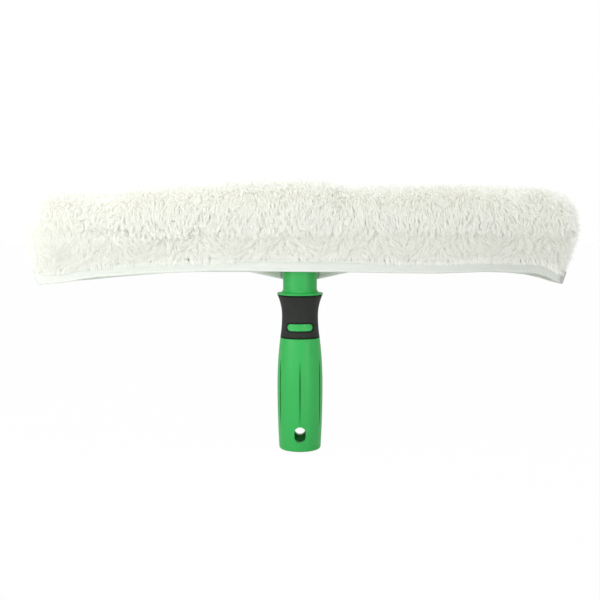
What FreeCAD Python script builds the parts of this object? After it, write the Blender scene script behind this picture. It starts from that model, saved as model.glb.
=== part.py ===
import FreeCAD
import Part
import Sketcher
import math
import os
import re

# Window washer: a T-shaped bar and handle with a pile sleeve over the bar.
# Lengths are in millimetres. The origin is the centre of the handle's lower end,
# +Z runs up the handle, X along the bar, and the front faces -Y.

SIZES = {
    # Grip
    "grip_length": 92.0,
    "grip_end_dia": 34.2,
    "grip_belly_dia": 37.6,
    "grip_belly_height": 54.0,
    "grip_top_dia": 32.8,
    "grip_end_round": 2.0,
    "groove_width": 1.4,
    "groove_depth": 0.75,
    "groove_reach": 44.0,
    "hang_slot_width": 9.2,
    "hang_slot_height": 12.8,
    "hang_slot_base": 7.8,
    # Pole socket and the wall above it
    "socket_dia": 25.0,
    "socket_depth": 60.0,
    "cone_length": 16.0,
    "driver_bore_dia": 16.0,
    "driver_bore_length": 4.0,
    "septum_thick": 14.0,
    # Rubber and its window
    "rubber_length": 34.9,
    "rubber_seat_dia": 25.6,
    "rubber_end_dia": 32.7,
    "rubber_waist_dia": 30.0,
    "rubber_waist_height": 17.4,
    "rubber_top_dia": 37.5,
    "inlay_width": 20.6,
    "inlay_height": 5.6,
    "inlay_rise": 9.0,
    "inlay_proud": 0.2,
    "inlay_gap": 0.35,
    # Neck
    "flange_dia": 38.0,
    "flange_rim": 1.2,
    "flange_rise": 5.0,
    "neck_dia": 28.2,
    "neck_length": 30.0,
    "neck_cone": 8.0,
    "spigot_dia": 16.0,
    "tenon_dia": 15.0,
    "tenon_length": 24.0,
    # Fasteners
    "screw_dia": 4.0,
    "screw_head_dia": 8.0,
    "screw_head_height": 3.0,
    "screw_reach": 24.0,
    "screw_tip": 3.0,
    "screw_slot": 1.2,
    "washer_dia": 12.0,
    "washer_thick": 1.2,
    "pin_dia": 5.0,
    "pin_height": 15.0,
    "pin_inset": 0.3,
    "pin_chamfer": 0.5,
    # Crossbar
    "bar_length": 426.0,
    "bar_height": 36.0,
    "bar_depth": 22.0,
    "bar_corner": 5.0,
    "bar_end_round": 3.0,
    "bar_web": 3.0,
    "hub_half": 17.0,
    "chamber_rib": 4.0,
    "chamber_floor": 0.5,
    # Pile
    "sleeve_depth": 59.0,
    "pile_over_bar": 17.5,
    "pile_top_droop": 7.0,
    "pile_foot_depth": 35.0,
    "dome_reach": 16.4,
    "dome_middle": 9.5,
    "dome_middle_inset": 3.5,
    "dome_middle_droop": 11.5,
    "dome_end_inset": 14.0,
    "dome_end_droop": 29.0,
    "end_foot_rise": 25.0,
    # Hem tapes
    "hem_below_bar": 19.2,
    "hem_height": 10.0,
    "hem_thick": 2.4,
    "front_hem_flat": 140.0,
    "front_hem_droop": 10.2,
    "back_hem_flat": 110.0,
    "back_hem_droop": 11.2,
    "fold_thick": 2.8,
    "fold_corner": 1.4,
    # Closure flaps and strips
    "flap_reach": 110.0,
    "flap_bend": 41.0,
    "flap_thick": 1.4,
    "flap_edge_length": 19.7,
    "flap_tip_length": 24.9,
    "flap_below_bar": 0.5,
    "hook_thick": 1.0,
    "hook_height": 8.0,
    "strip_margin": 1.2,
    "loop_thick": 1.0,
    "loop_height": 7.0,
    # Clearances
    "seam_gap": 0.5,
    "fit_gap": 0.05,
    "screw_gap": 0.3,
    "sewn_gap": 0.1,
    "pocket_gap": 0.5,
    "hook_gap": 0.8,
    "flap_gap": 0.3,
    "flap_neck_gap": 0.7,
    "hem_neck_gap": 0.9,
}

GROOVE_COUNT = 6
CHAMBERS_PER_HALF = 4
INLAY_SWEEP = 130.0

# Two places closer than this count as one
SAME_PLACE = 1e-4

# Heights and half-widths that several pieces share
SEPTUM_BASE = "(socket_depth + cone_length + driver_bore_length)"
SEPTUM_TOP = f"({SEPTUM_BASE} + septum_thick)"
RUBBER_BASE = "(grip_length + seam_gap)"
RUBBER_TOP = f"({RUBBER_BASE} + rubber_length)"
WAIST = f"({RUBBER_BASE} + rubber_waist_height)"
FLANGE_BASE = f"({RUBBER_TOP} + seam_gap)"
NECK_TOP = f"({FLANGE_BASE} + neck_length)"
BAR_BASE = f"({NECK_TOP} + neck_cone)"
BAR_TOP = f"({BAR_BASE} + bar_height)"
PIN_LEVEL = f"({BAR_BASE} + pin_height)"
SPIGOT_BASE = f"({SEPTUM_TOP} + screw_gap)"
WASHER_BASE = f"({SEPTUM_BASE} - washer_thick)"
SCREW_TOP = f"({SEPTUM_TOP} + screw_reach)"
INLAY_LEVEL = f"({RUBBER_BASE} + inlay_rise)"
HEM_BASE = f"({BAR_BASE} - hem_below_bar)"
HEM_TOP = f"({HEM_BASE} + hem_height)"
PILE_FOOT = f"({HEM_TOP} + sewn_gap)"
PILE_TOP = f"({BAR_TOP} + pocket_gap + pile_over_bar)"
WRAP_END = "(bar_length / 2 + pocket_gap)"
FOLD_START = f"({WRAP_END} + sewn_gap)"
SLEEVE_END = f"({FOLD_START} + dome_reach)"
HINGE_LEVEL = f"({BAR_BASE} - flap_below_bar)"
FRONT_WALL = "(bar_depth / 2 + pocket_gap)"
HOOK_FACE = "(bar_depth / 2 + hook_gap)"
FLAP_FACE = f"({HOOK_FACE} + hook_thick)"
FLAP_BACK = f"({FLAP_FACE} + flap_thick)"
BACK_WALL = f"({FLAP_BACK} + flap_gap)"
FRONT_HEM = "(neck_dia / 2 + hem_neck_gap)"
BACK_HEM = f"max({BACK_WALL}; neck_dia / 2 + flap_gap)"
FLAP_START = "(neck_dia / 2 + flap_neck_gap)"

LEFT_OF_TRAVEL = 1
RIGHT_OF_TRAVEL = -1

doc = FreeCAD.newDocument("window_washer")
sheet = doc.addObject("Spreadsheet::Sheet", "Sizes")
for row, (alias, size) in enumerate(SIZES.items(), start=1):
    sheet.set(f"A{row}", alias)
    sheet.set(f"B{row}", str(size))
    sheet.setAlias(f"B{row}", alias)
doc.recompute()

sub_parts = []


def formula(text):
    """Point every size named in a formula at its cell."""
    return re.sub(r"[a-z_]+", lambda word: f"Sizes.{word[0]}" if word[0] in SIZES else word[0], text)


def value(text):
    """Work out a formula as a number."""
    return float(sheet.evalExpression(formula(text)))


def bind(thing, prop, text):
    """Tie a property to a formula of sizes."""
    thing.setExpression(prop, formula(text))


def tangent_radius(across, along):
    """Radius of an arc that leaves one end along a line and ends so far across and along it."""
    return f"((({across})^2 + ({along})^2) / (2 * ({across})))"


def new_body(label):
    """Start a sub-part under its own label."""
    body = doc.addObject("PartDesign::Body", label)
    body.Label = label
    sub_parts.append(body)
    return body


def new_sketch(body, plane, offset="0"):
    """Start a sketch on one of the body's own planes, moved along its normal."""
    sketch = body.newObject("Sketcher::SketchObject", "outline")
    support = [item for item in body.Origin.OriginFeatures if item.Role == plane]
    sketch.AttachmentSupport = [(support[0], "")]
    sketch.MapMode = "FlatFace"
    bind(sketch, "AttachmentOffset.Base.z", offset)
    doc.recompute()
    return sketch


def pin_point(sketch, edge, end, across, up):
    """Hold the end of an edge at two formulas."""
    for kind, axis, text in (("DistanceX", -2, across), ("DistanceY", -1, up)):
        if text == "0":
            sketch.addConstraint(Sketcher.Constraint("PointOnObject", edge, end, axis))
            continue
        row = sketch.addConstraint(Sketcher.Constraint(kind, edge, end, value(text)))
        bind(sketch, f"Constraints[{row}]", text)


def add_arc(sketch, start, end, radius_text, side):
    """Add an arc of under a half circle and say which of its ends is the start."""
    radius = value(radius_text)
    chord = end - start
    to_left = FreeCAD.Vector(-chord.y, chord.x, 0) / chord.Length
    centre = (start + end) / 2 - to_left * side * math.sqrt(radius ** 2 - chord.Length ** 2 / 4)
    first, last = (start, end) if side == RIGHT_OF_TRAVEL else (end, start)
    from_angle = math.atan2(first.y - centre.y, first.x - centre.x)
    to_angle = math.atan2(last.y - centre.y, last.x - centre.x)
    if to_angle < from_angle:
        to_angle += 2 * math.pi
    circle = Part.Circle(centre, FreeCAD.Vector(0, 0, 1), radius)
    edge = sketch.addGeometry(Part.ArcOfCircle(circle, from_angle, to_angle))
    row = sketch.addConstraint(Sketcher.Constraint("Radius", edge, radius))
    bind(sketch, f"Constraints[{row}]", radius_text)
    return (edge, 1, 2) if side == RIGHT_OF_TRAVEL else (edge, 2, 1)


def draw(sketch, corners):
    """Draw a closed outline; a corner with a radius and a side starts an arc."""
    places = [FreeCAD.Vector(value(corner[0]), value(corner[1]), 0) for corner in corners]
    edges = []
    for number, corner in enumerate(corners):
        start = places[number]
        end = places[(number + 1) % len(places)]
        if len(corner) == 4:
            edges.append(add_arc(sketch, start, end, corner[2], corner[3]))
        else:
            edges.append((sketch.addGeometry(Part.LineSegment(start, end)), 1, 2))
    for number, corner in enumerate(corners):
        edge, head, _ = edges[number]
        before, _, tail = edges[number - 1]
        sketch.addConstraint(Sketcher.Constraint("Coincident", before, tail, edge, head))
        pin_point(sketch, edge, head, corner[0], corner[1])


def draw_box(sketch, left, right, low, high):
    """Draw a rectangle between four formulas."""
    draw(sketch, [(left, low), (right, low), (right, high), (left, high)])


def draw_circle(sketch, across, up, radius):
    """Draw a circle about a point."""
    centre = FreeCAD.Vector(value(across), value(up), 0)
    edge = sketch.addGeometry(Part.Circle(centre, FreeCAD.Vector(0, 0, 1), value(radius)))
    pin_point(sketch, edge, 3, across, up)
    row = sketch.addConstraint(Sketcher.Constraint("Radius", edge, value(radius)))
    bind(sketch, f"Constraints[{row}]", radius)


def obround(half_width, low, high):
    """Corners of an upright slot with round ends, about the middle of the sketch."""
    lower = f"({low} + {half_width})"
    upper = f"({high} - {half_width})"
    return [
        (half_width, lower),
        (half_width, upper, half_width, RIGHT_OF_TRAVEL),
        ("0", high, half_width, RIGHT_OF_TRAVEL),
        (f"-{half_width}", upper),
        (f"-{half_width}", lower, half_width, RIGHT_OF_TRAVEL),
        ("0", low, half_width, RIGHT_OF_TRAVEL),
    ]


def lying_obround(half_width, half_height, level):
    """Corners of a slot that lies along the sketch's first axis."""
    straight = f"({half_width} - {half_height})"
    low = f"({level} - {half_height})"
    high = f"({level} + {half_height})"
    return [
        (straight, low, half_height, RIGHT_OF_TRAVEL),
        (half_width, level, half_height, RIGHT_OF_TRAVEL),
        (straight, high),
        (f"-{straight}", high, half_height, RIGHT_OF_TRAVEL),
        (f"-{half_width}", level, half_height, RIGHT_OF_TRAVEL),
        (f"-{straight}", low),
    ]


def turned(body, sketch, angle=360.0):
    """Turn an outline about the handle's axis."""
    feature = body.newObject("PartDesign::Revolution", "turned")
    feature.Profile = sketch
    feature.ReferenceAxis = (sketch, ["V_Axis"])
    feature.Angle = angle
    feature.Midplane = angle < 360.0
    doc.recompute()
    return feature


def padded(body, sketch, length, symmetric=False):
    """Thicken an outline along its normal."""
    feature = body.newObject("PartDesign::Pad", "padded")
    feature.Profile = sketch
    feature.SideType = "Symmetric" if symmetric else "One side"
    bind(feature, "Length", length)
    doc.recompute()
    return feature


def cut(body, sketch, length=None, both_ways=False):
    """Cut an outline along its normal, by a length or right through, and see that it cut."""
    before = body.Shape.Volume
    feature = body.newObject("PartDesign::Pocket", "cut")
    feature.Profile = sketch
    feature.Reversed = not both_ways
    feature.SideType = "Symmetric" if both_ways else "One side"
    if length is None:
        feature.Type = "ThroughAll"
    else:
        bind(feature, "Length", length)
    doc.recompute()
    if not body.Shape.Volume < before:
        raise RuntimeError(f"{body.Label}: a cut removed nothing")
    return feature


def soften(body, radius, wanted, kind="Fillet"):
    """Round or bevel the edges that a test picks."""
    base = body.Tip
    names = [f"Edge{number}" for number, edge in enumerate(base.Shape.Edges, start=1) if wanted(edge)]
    feature = body.newObject(f"PartDesign::{kind}", kind.lower())
    feature.Base = (base, names)
    bind(feature, "Radius" if kind == "Fillet" else "Size", radius)
    doc.recompute()


def is_ring(radius, level):
    """Make a test for a round edge of one radius at one height."""
    def test(edge):
        if not hasattr(edge.Curve, "Radius"):
            return False
        same_radius = abs(edge.Curve.Radius - value(radius)) < SAME_PLACE
        return same_radius and abs(edge.Curve.Center.z - value(level)) < SAME_PLACE
    return test


def grip_body():
    """Hollow handle with a pole socket below and a bore for the neck's spigot above."""
    body = new_body("grip_body")
    lower = tangent_radius("(grip_belly_dia - grip_end_dia) / 2", "grip_belly_height")
    upper = tangent_radius("(grip_belly_dia - grip_top_dia) / 2", "grip_length - grip_belly_height")
    sketch = new_sketch(body, "XZ_Plane")
    draw(sketch, [
        ("socket_dia / 2", "0"),
        ("grip_end_dia / 2", "0", lower, RIGHT_OF_TRAVEL),
        ("grip_belly_dia / 2", "grip_belly_height", upper, RIGHT_OF_TRAVEL),
        ("grip_top_dia / 2", "grip_length"),
        ("rubber_seat_dia / 2", "grip_length"),
        ("rubber_seat_dia / 2", f"{FLANGE_BASE} - seam_gap"),
        ("spigot_dia / 2 + fit_gap", f"{FLANGE_BASE} - seam_gap"),
        ("spigot_dia / 2 + fit_gap", SEPTUM_TOP),
        ("screw_dia / 2 + screw_gap", SEPTUM_TOP),
        ("screw_dia / 2 + screw_gap", SEPTUM_BASE),
        ("driver_bore_dia / 2", SEPTUM_BASE),
        ("driver_bore_dia / 2", "socket_depth + cone_length"),
        ("socket_dia / 2", "socket_depth"),
    ])
    turned(body, sketch)
    soften(body, "grip_end_round", is_ring("grip_end_dia / 2", "0"))
    grooves = new_sketch(body, "XZ_Plane", "grip_belly_dia / 2 - groove_depth")
    draw_box(
        grooves,
        "-groove_width / 2",
        "groove_width / 2",
        "grip_belly_height - groove_reach",
        "grip_belly_height + groove_reach",
    )
    groove = cut(body, grooves)
    pattern = body.newObject("PartDesign::PolarPattern", "grooves")
    pattern.Originals = [groove]
    upright = [item for item in body.Origin.OriginFeatures if item.Role == "Z_Axis"]
    pattern.Axis = (upright[0], [""])
    pattern.Occurrences = GROOVE_COUNT
    pattern.Angle = 360.0
    body.Tip = pattern
    doc.recompute()
    slot = new_sketch(body, "XZ_Plane")
    draw(slot, obround("hang_slot_width / 2", "hang_slot_base", "(hang_slot_base + hang_slot_height)"))
    cut(body, slot, both_ways=True)


RUBBER_LOWER = tangent_radius("(rubber_end_dia - rubber_waist_dia) / 2", "rubber_waist_height")
RUBBER_RISE = "(rubber_length - rubber_waist_height)"
RUBBER_UPPER = tangent_radius("(rubber_top_dia - rubber_waist_dia) / 2", RUBBER_RISE)


def grip_rubber():
    """Waisted rubber sleeve with a window in front."""
    body = new_body("grip_rubber")
    sketch = new_sketch(body, "XZ_Plane")
    draw(sketch, [
        ("rubber_seat_dia / 2 + fit_gap", RUBBER_BASE),
        ("rubber_end_dia / 2", RUBBER_BASE, RUBBER_LOWER, LEFT_OF_TRAVEL),
        ("rubber_waist_dia / 2", WAIST, RUBBER_UPPER, LEFT_OF_TRAVEL),
        ("rubber_top_dia / 2", RUBBER_TOP),
        ("rubber_seat_dia / 2 + fit_gap", RUBBER_TOP),
    ])
    turned(body, sketch)
    window = new_sketch(body, "XZ_Plane")
    half_width = "(inlay_width / 2 + inlay_gap)"
    draw(window, lying_obround(half_width, "(inlay_height / 2 + inlay_gap)", INLAY_LEVEL))
    cut(body, window)


def badge_inlay():
    """Plain obround inlay that fills the rubber's window and follows its curve."""
    body = new_body("badge_inlay")
    low = f"({INLAY_LEVEL} - inlay_height)"
    high = f"({INLAY_LEVEL} + inlay_height)"
    face = f"({RUBBER_LOWER} - inlay_proud)"
    centre = f"(rubber_waist_dia / 2 + {RUBBER_LOWER})"
    outer_low = f"-({centre} - sqrt({face}^2 - ({low} - {WAIST})^2))"
    outer_high = f"-({centre} - sqrt({face}^2 - ({high} - {WAIST})^2))"
    inner = "-(rubber_seat_dia / 2 + fit_gap)"
    sketch = new_sketch(body, "YZ_Plane")
    draw(sketch, [
        (inner, low),
        (inner, high),
        (outer_high, high, face, LEFT_OF_TRAVEL),
        (outer_low, low),
    ])
    turned(body, sketch, angle=INLAY_SWEEP)
    trim = new_sketch(body, "XZ_Plane")
    draw_box(trim, "-rubber_end_dia", "rubber_end_dia", f"{low} - inlay_height", f"{high} + inlay_height")
    draw(trim, lying_obround("(inlay_width / 2)", "(inlay_height / 2)", INLAY_LEVEL))
    cut(body, trim)


def neck_collar():
    """Flange and neck, with a spigot down into the grip and a tenon up into the bar."""
    body = new_body("neck_collar")
    flare = tangent_radius("(flange_dia - neck_dia) / 2", "flange_rise - flange_rim")
    pilot_top = f"({SCREW_TOP} + screw_tip)"
    sketch = new_sketch(body, "XZ_Plane")
    draw(sketch, [
        ("screw_dia / 2 + fit_gap", SPIGOT_BASE),
        ("spigot_dia / 2", SPIGOT_BASE),
        ("spigot_dia / 2", FLANGE_BASE),
        ("flange_dia / 2", FLANGE_BASE),
        ("flange_dia / 2", f"{FLANGE_BASE} + flange_rim", flare, LEFT_OF_TRAVEL),
        ("neck_dia / 2", f"{FLANGE_BASE} + flange_rise"),
        ("neck_dia / 2", NECK_TOP),
        ("bar_depth / 2", BAR_BASE),
        ("tenon_dia / 2", BAR_BASE),
        ("tenon_dia / 2", f"{BAR_BASE} + tenon_length"),
        ("0", f"{BAR_BASE} + tenon_length"),
        ("0", pilot_top),
        ("screw_dia / 2 + fit_gap", pilot_top),
    ])
    turned(body, sketch)
    hole = new_sketch(body, "XZ_Plane")
    draw_circle(hole, "0", PIN_LEVEL, "pin_dia / 2 + fit_gap")
    cut(body, hole, both_ways=True)


def cross_pin():
    """Pin through the bar and the tenon, set in a little at both faces."""
    body = new_body("cross_pin")
    sketch = new_sketch(body, "XZ_Plane")
    draw_circle(sketch, "0", PIN_LEVEL, "pin_dia / 2")
    padded(body, sketch, "bar_depth - 2 * pin_inset", symmetric=True)
    soften(body, "pin_chamfer", lambda edge: hasattr(edge.Curve, "Radius"), kind="Chamfer")


def handle_screw():
    """Slotted screw up through the septum into the spigot."""
    body = new_body("handle_screw")
    head_base = f"({WASHER_BASE} - screw_head_height)"
    sketch = new_sketch(body, "XZ_Plane")
    draw(sketch, [
        ("0", head_base),
        ("screw_head_dia / 2", head_base),
        ("screw_head_dia / 2", WASHER_BASE),
        ("screw_dia / 2", WASHER_BASE),
        ("screw_dia / 2", f"{SCREW_TOP} - screw_tip"),
        ("0", SCREW_TOP),
    ])
    turned(body, sketch)
    slot = new_sketch(body, "XY_Plane", f"{head_base} - screw_slot")
    draw_box(slot, "-screw_head_dia", "screw_head_dia", "-screw_slot / 2", "screw_slot / 2")
    cut(body, slot, "2 * screw_slot")


def screw_washer():
    """Flat washer under the screw's head."""
    body = new_body("screw_washer")
    sketch = new_sketch(body, "XY_Plane", WASHER_BASE)
    draw_circle(sketch, "0", "0", "washer_dia / 2")
    draw_circle(sketch, "0", "0", "screw_dia / 2 + screw_gap")
    padded(body, sketch, "washer_thick")


def crossbar():
    """Moulded bar with rounded edges, water chambers in both faces and a bore for the tenon."""
    body = new_body("crossbar")
    half = "bar_depth / 2"
    inner = "(bar_depth / 2 - bar_corner)"
    low = f"({BAR_BASE} + bar_corner)"
    high = f"({BAR_TOP} - bar_corner)"
    section = new_sketch(body, "YZ_Plane")
    draw(section, [
        (f"-{inner}", BAR_BASE),
        (inner, BAR_BASE, "bar_corner", RIGHT_OF_TRAVEL),
        (half, low),
        (half, high, "bar_corner", RIGHT_OF_TRAVEL),
        (inner, BAR_TOP),
        (f"-{inner}", BAR_TOP, "bar_corner", RIGHT_OF_TRAVEL),
        (f"-{half}", high),
        (f"-{half}", low, "bar_corner", RIGHT_OF_TRAVEL),
    ])
    padded(body, section, "bar_length", symmetric=True)
    bar_end = value("bar_length / 2")

    def is_end(edge):
        return all(abs(abs(corner.X) - bar_end) < SAME_PLACE for corner in edge.Vertexes)

    soften(body, "bar_end_round", is_end)
    pitch = f"((bar_length / 2 - hub_half) / {CHAMBERS_PER_HALF})"
    chambers = new_sketch(body, "XZ_Plane", "bar_web / 2")
    for side in ("", "-"):
        for number in range(CHAMBERS_PER_HALF):
            near = f"{side}(hub_half + {number} * {pitch} + chamber_rib / 2)"
            far = f"{side}(hub_half + {number + 1} * {pitch} - chamber_rib / 2)"
            draw_box(chambers, near, far, f"{low} + chamber_floor", f"{high} - chamber_floor")
    front = cut(body, chambers)
    mirror = body.newObject("PartDesign::Mirrored", "back_chambers")
    mirror.Originals = [front]
    middle = [item for item in body.Origin.OriginFeatures if item.Role == "XZ_Plane"]
    mirror.MirrorPlane = (middle[0], [""])
    body.Tip = mirror
    doc.recompute()
    bore = new_sketch(body, "XY_Plane", f"{BAR_BASE} - pocket_gap")
    draw_circle(bore, "0", "0", "tenon_dia / 2 + fit_gap")
    cut(body, bore, "tenon_length + 2 * pocket_gap")
    hole = new_sketch(body, "XZ_Plane")
    draw_circle(hole, "0", PIN_LEVEL, "pin_dia / 2 + fit_gap")
    cut(body, hole, both_ways=True)


def pile_section(body, place, inset, droop):
    """Outline across the pile at one place along the bar, drawn in and lowered."""
    half = f"(sleeve_depth / 2 - {inset})"
    foot = f"(pile_foot_depth / 2 - {inset} / 2)"
    below = f"({PILE_FOOT} - 2 * front_hem_droop)"
    top = f"({PILE_TOP} - {droop})"
    waist = f"({top} - {half})"
    flank = tangent_radius(f"{half} - {foot}", f"{waist} - {PILE_FOOT}")
    sketch = new_sketch(body, "YZ_Plane", place)
    draw(sketch, [
        (f"-{foot}", below),
        (foot, below),
        (foot, PILE_FOOT, flank, RIGHT_OF_TRAVEL),
        (half, waist, half, RIGHT_OF_TRAVEL),
        ("0", top, half, RIGHT_OF_TRAVEL),
        (f"-{half}", waist, flank, RIGHT_OF_TRAVEL),
        (f"-{foot}", PILE_FOOT),
    ])
    return sketch


def lofted(body, sections):
    """Join outlines by one smooth skin."""
    feature = body.newObject("PartDesign::AdditiveLoft", "lofted")
    feature.Profile = sections[0]
    feature.Sections = sections[1:]
    doc.recompute()


def pile_wrap():
    """Pile cloth folded over the bar: a trough, open below, wider at the back for the flaps."""
    body = new_body("pile_wrap")
    halves = range(-2, 3)
    lofted(body, [
        pile_section(body, f"({step} * {WRAP_END} / 2)", "0", f"({step}^2 * pile_top_droop / 4)")
        for step in halves
    ])
    below = f"({PILE_FOOT} - 3 * front_hem_droop)"
    end_foot = f"({PILE_FOOT} - front_hem_droop)"
    hem = tangent_radius("front_hem_droop", f"{FOLD_START} - front_hem_flat")
    hem_line = new_sketch(body, "XZ_Plane")
    draw(hem_line, [
        (f"-{FOLD_START}", below),
        (FOLD_START, below),
        (FOLD_START, end_foot, hem, RIGHT_OF_TRAVEL),
        ("front_hem_flat", PILE_FOOT),
        ("-front_hem_flat", PILE_FOOT, hem, RIGHT_OF_TRAVEL),
        (f"-{FOLD_START}", end_foot),
    ])
    cut(body, hem_line, both_ways=True)
    step = f"({HINGE_LEVEL} + flap_thick / 2 + flap_gap)"
    ceiling = f"({BAR_TOP} + pocket_gap)"
    pocket = new_sketch(body, "YZ_Plane")
    draw(pocket, [
        (f"-{FRONT_WALL}", below),
        (BACK_WALL, below),
        (BACK_WALL, step),
        (FRONT_WALL, step),
        (FRONT_WALL, ceiling),
        (f"-{FRONT_WALL}", ceiling),
    ])
    cut(body, pocket, both_ways=True)
    neck = new_sketch(body, "XY_Plane", below)
    draw_circle(neck, "0", "0", "neck_dia / 2 + hem_neck_gap")
    cut(body, neck, f"{BAR_BASE} + pocket_gap - {below}")


def end_pile(label, side):
    """Domed pile that closes one end of the sleeve."""
    body = new_body(label)
    lofted(body, [
        pile_section(body, f"{side}{FOLD_START}", "0", "pile_top_droop"),
        pile_section(body, f"{side}({FOLD_START} + dome_middle)", "dome_middle_inset", "dome_middle_droop"),
        pile_section(body, f"{side}{SLEEVE_END}", "dome_end_inset", "dome_end_droop"),
    ])
    below = f"({PILE_FOOT} - 3 * front_hem_droop)"
    end_foot = f"({PILE_FOOT} - front_hem_droop)"
    foot = tangent_radius("dome_reach", "end_foot_rise")
    bulge = RIGHT_OF_TRAVEL if side == "-" else LEFT_OF_TRAVEL
    # The cut reaches past the dome by one tape thickness
    inner = f"{side}({FOLD_START} - hem_thick)"
    outer = f"{side}({SLEEVE_END} + hem_thick)"
    foot_line = new_sketch(body, "XZ_Plane")
    draw(foot_line, [
        (inner, below),
        (outer, below),
        (outer, f"{end_foot} + end_foot_rise"),
        (f"{side}{SLEEVE_END}", f"{end_foot} + end_foot_rise", foot, bulge),
        (f"{side}{FOLD_START}", end_foot),
        (inner, end_foot),
    ])
    cut(body, foot_line, both_ways=True)


def hem_tape(label, front_face, flat, droop):
    """Tape along one lower edge: level in the middle, drooping to the corners."""
    body = new_body(label)
    bend = tangent_radius(droop, f"{WRAP_END} - {flat}")
    end_base = f"({HEM_BASE} - {droop})"
    end_top = f"({HEM_TOP} - {droop})"
    sketch = new_sketch(body, "XZ_Plane", front_face)
    draw(sketch, [
        (f"-{WRAP_END}", end_base, bend, LEFT_OF_TRAVEL),
        (f"-{flat}", HEM_BASE),
        (flat, HEM_BASE, bend, LEFT_OF_TRAVEL),
        (WRAP_END, end_base),
        (WRAP_END, end_top, bend, RIGHT_OF_TRAVEL),
        (flat, HEM_TOP),
        (f"-{flat}", HEM_TOP, bend, RIGHT_OF_TRAVEL),
        (f"-{WRAP_END}", end_top),
    ])
    padded(body, sketch, "hem_thick")


def corner_fold(label, side):
    """Folded tape that joins the two hems at one end."""
    body = new_body(label)
    base = f"({HEM_BASE} - front_hem_droop)"
    top = f"({HEM_TOP} - front_hem_droop)"
    sketch = new_sketch(body, "XZ_Plane", f"-({BACK_HEM} + hem_thick)")
    draw(sketch, [
        (f"{side}{FOLD_START}", base),
        (f"{side}({FOLD_START} + fold_thick - fold_corner)", base),
        (f"{side}({FOLD_START} + fold_thick)", f"{base} + fold_corner"),
        (f"{side}({FOLD_START} + fold_thick)", f"{top} - sewn_gap"),
        (f"{side}{FOLD_START}", f"{top} - sewn_gap"),
    ])
    padded(body, sketch, f"{BACK_HEM} + {FRONT_HEM} + 2 * hem_thick")


def closure_flap(label, side):
    """Flap that hangs behind the bar on one side of the neck, longest beside the neck."""
    body = new_body(label)
    sketch = new_sketch(body, "XZ_Plane", f"-{FLAP_BACK}")
    draw(sketch, [
        (f"{side}{FLAP_START}", f"{HINGE_LEVEL} - flap_tip_length"),
        (f"{side}flap_bend", f"{HINGE_LEVEL} - flap_edge_length"),
        (f"{side}flap_reach", f"{HINGE_LEVEL} - flap_edge_length"),
        (f"{side}flap_reach", HINGE_LEVEL),
        (f"{side}{FLAP_START}", HINGE_LEVEL),
    ])
    padded(body, sketch, "flap_thick")


def hook_strip(label, side):
    """Hook strip on a flap's inner face, following its lower edge."""
    body = new_body(label)
    edge = f"({HINGE_LEVEL} - flap_edge_length + strip_margin)"
    sketch = new_sketch(body, "XZ_Plane", f"-{FLAP_FACE}")
    draw(sketch, [
        (f"{side}({FLAP_START} + strip_margin)", f"{HINGE_LEVEL} - flap_tip_length + 2 * strip_margin"),
        (f"{side}flap_bend", edge),
        (f"{side}(flap_reach - strip_margin)", edge),
        (f"{side}(flap_reach - strip_margin)", f"{edge} + hook_height"),
        (f"{side}({FLAP_START} + strip_margin)", f"{edge} + hook_height"),
    ])
    padded(body, sketch, "hook_thick")


def loop_strip(label, side):
    """Loop strip on the front tape's inner face, facing the hook strip."""
    body = new_body(label)
    base = f"({HEM_BASE} + strip_margin)"
    sketch = new_sketch(body, "XZ_Plane", f"{FRONT_HEM} - loop_thick")
    draw_box(
        sketch,
        f"{side}({FLAP_START} + strip_margin)",
        f"{side}(flap_reach - strip_margin)",
        base,
        f"{base} + loop_height",
    )
    padded(body, sketch, "loop_thick")


def write_parts():
    """Check every object and every solid, then write one file per sub-part."""
    doc.recompute()
    for item in doc.Objects:
        if "Invalid" in item.State or "Error" in item.State:
            raise RuntimeError(f"{item.Label}: {item.State}")
    for body in sub_parts:
        shape = body.Shape
        if shape.isNull() or not shape.isValid() or len(shape.Solids) != 1:
            raise RuntimeError(f"{body.Label}: not one valid solid")
    os.makedirs("parts", exist_ok=True)
    for body in sub_parts:
        body.Shape.exportStep(f"parts/{body.Label}.step")
        print(f"{body.Label}: {body.Shape.Volume / 1000:.2f} cm3")


grip_body()
grip_rubber()
badge_inlay()
neck_collar()
cross_pin()
handle_screw()
screw_washer()
crossbar()
pile_wrap()
hem_tape("front_hem_tape", FRONT_HEM, "front_hem_flat", "front_hem_droop")
hem_tape("back_hem_tape", f"-({BACK_HEM} + hem_thick)", "back_hem_flat", "back_hem_droop")
for name, hand in (("left", "-"), ("right", "")):
    end_pile(f"{name}_end_pile", hand)
    corner_fold(f"{name}_corner_fold", hand)
    closure_flap(f"{name}_closure_flap", hand)
    hook_strip(f"{name}_hook_strip", hand)
    loop_strip(f"{name}_loop_strip", hand)
write_parts()
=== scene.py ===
"""Dresses the window washer: a plush sleeve with sewn hems and closure flaps on a moulded T-bar."""

import logging
import math
from dataclasses import dataclass
from dataclasses import field
from enum import Enum
from typing import Any

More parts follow.
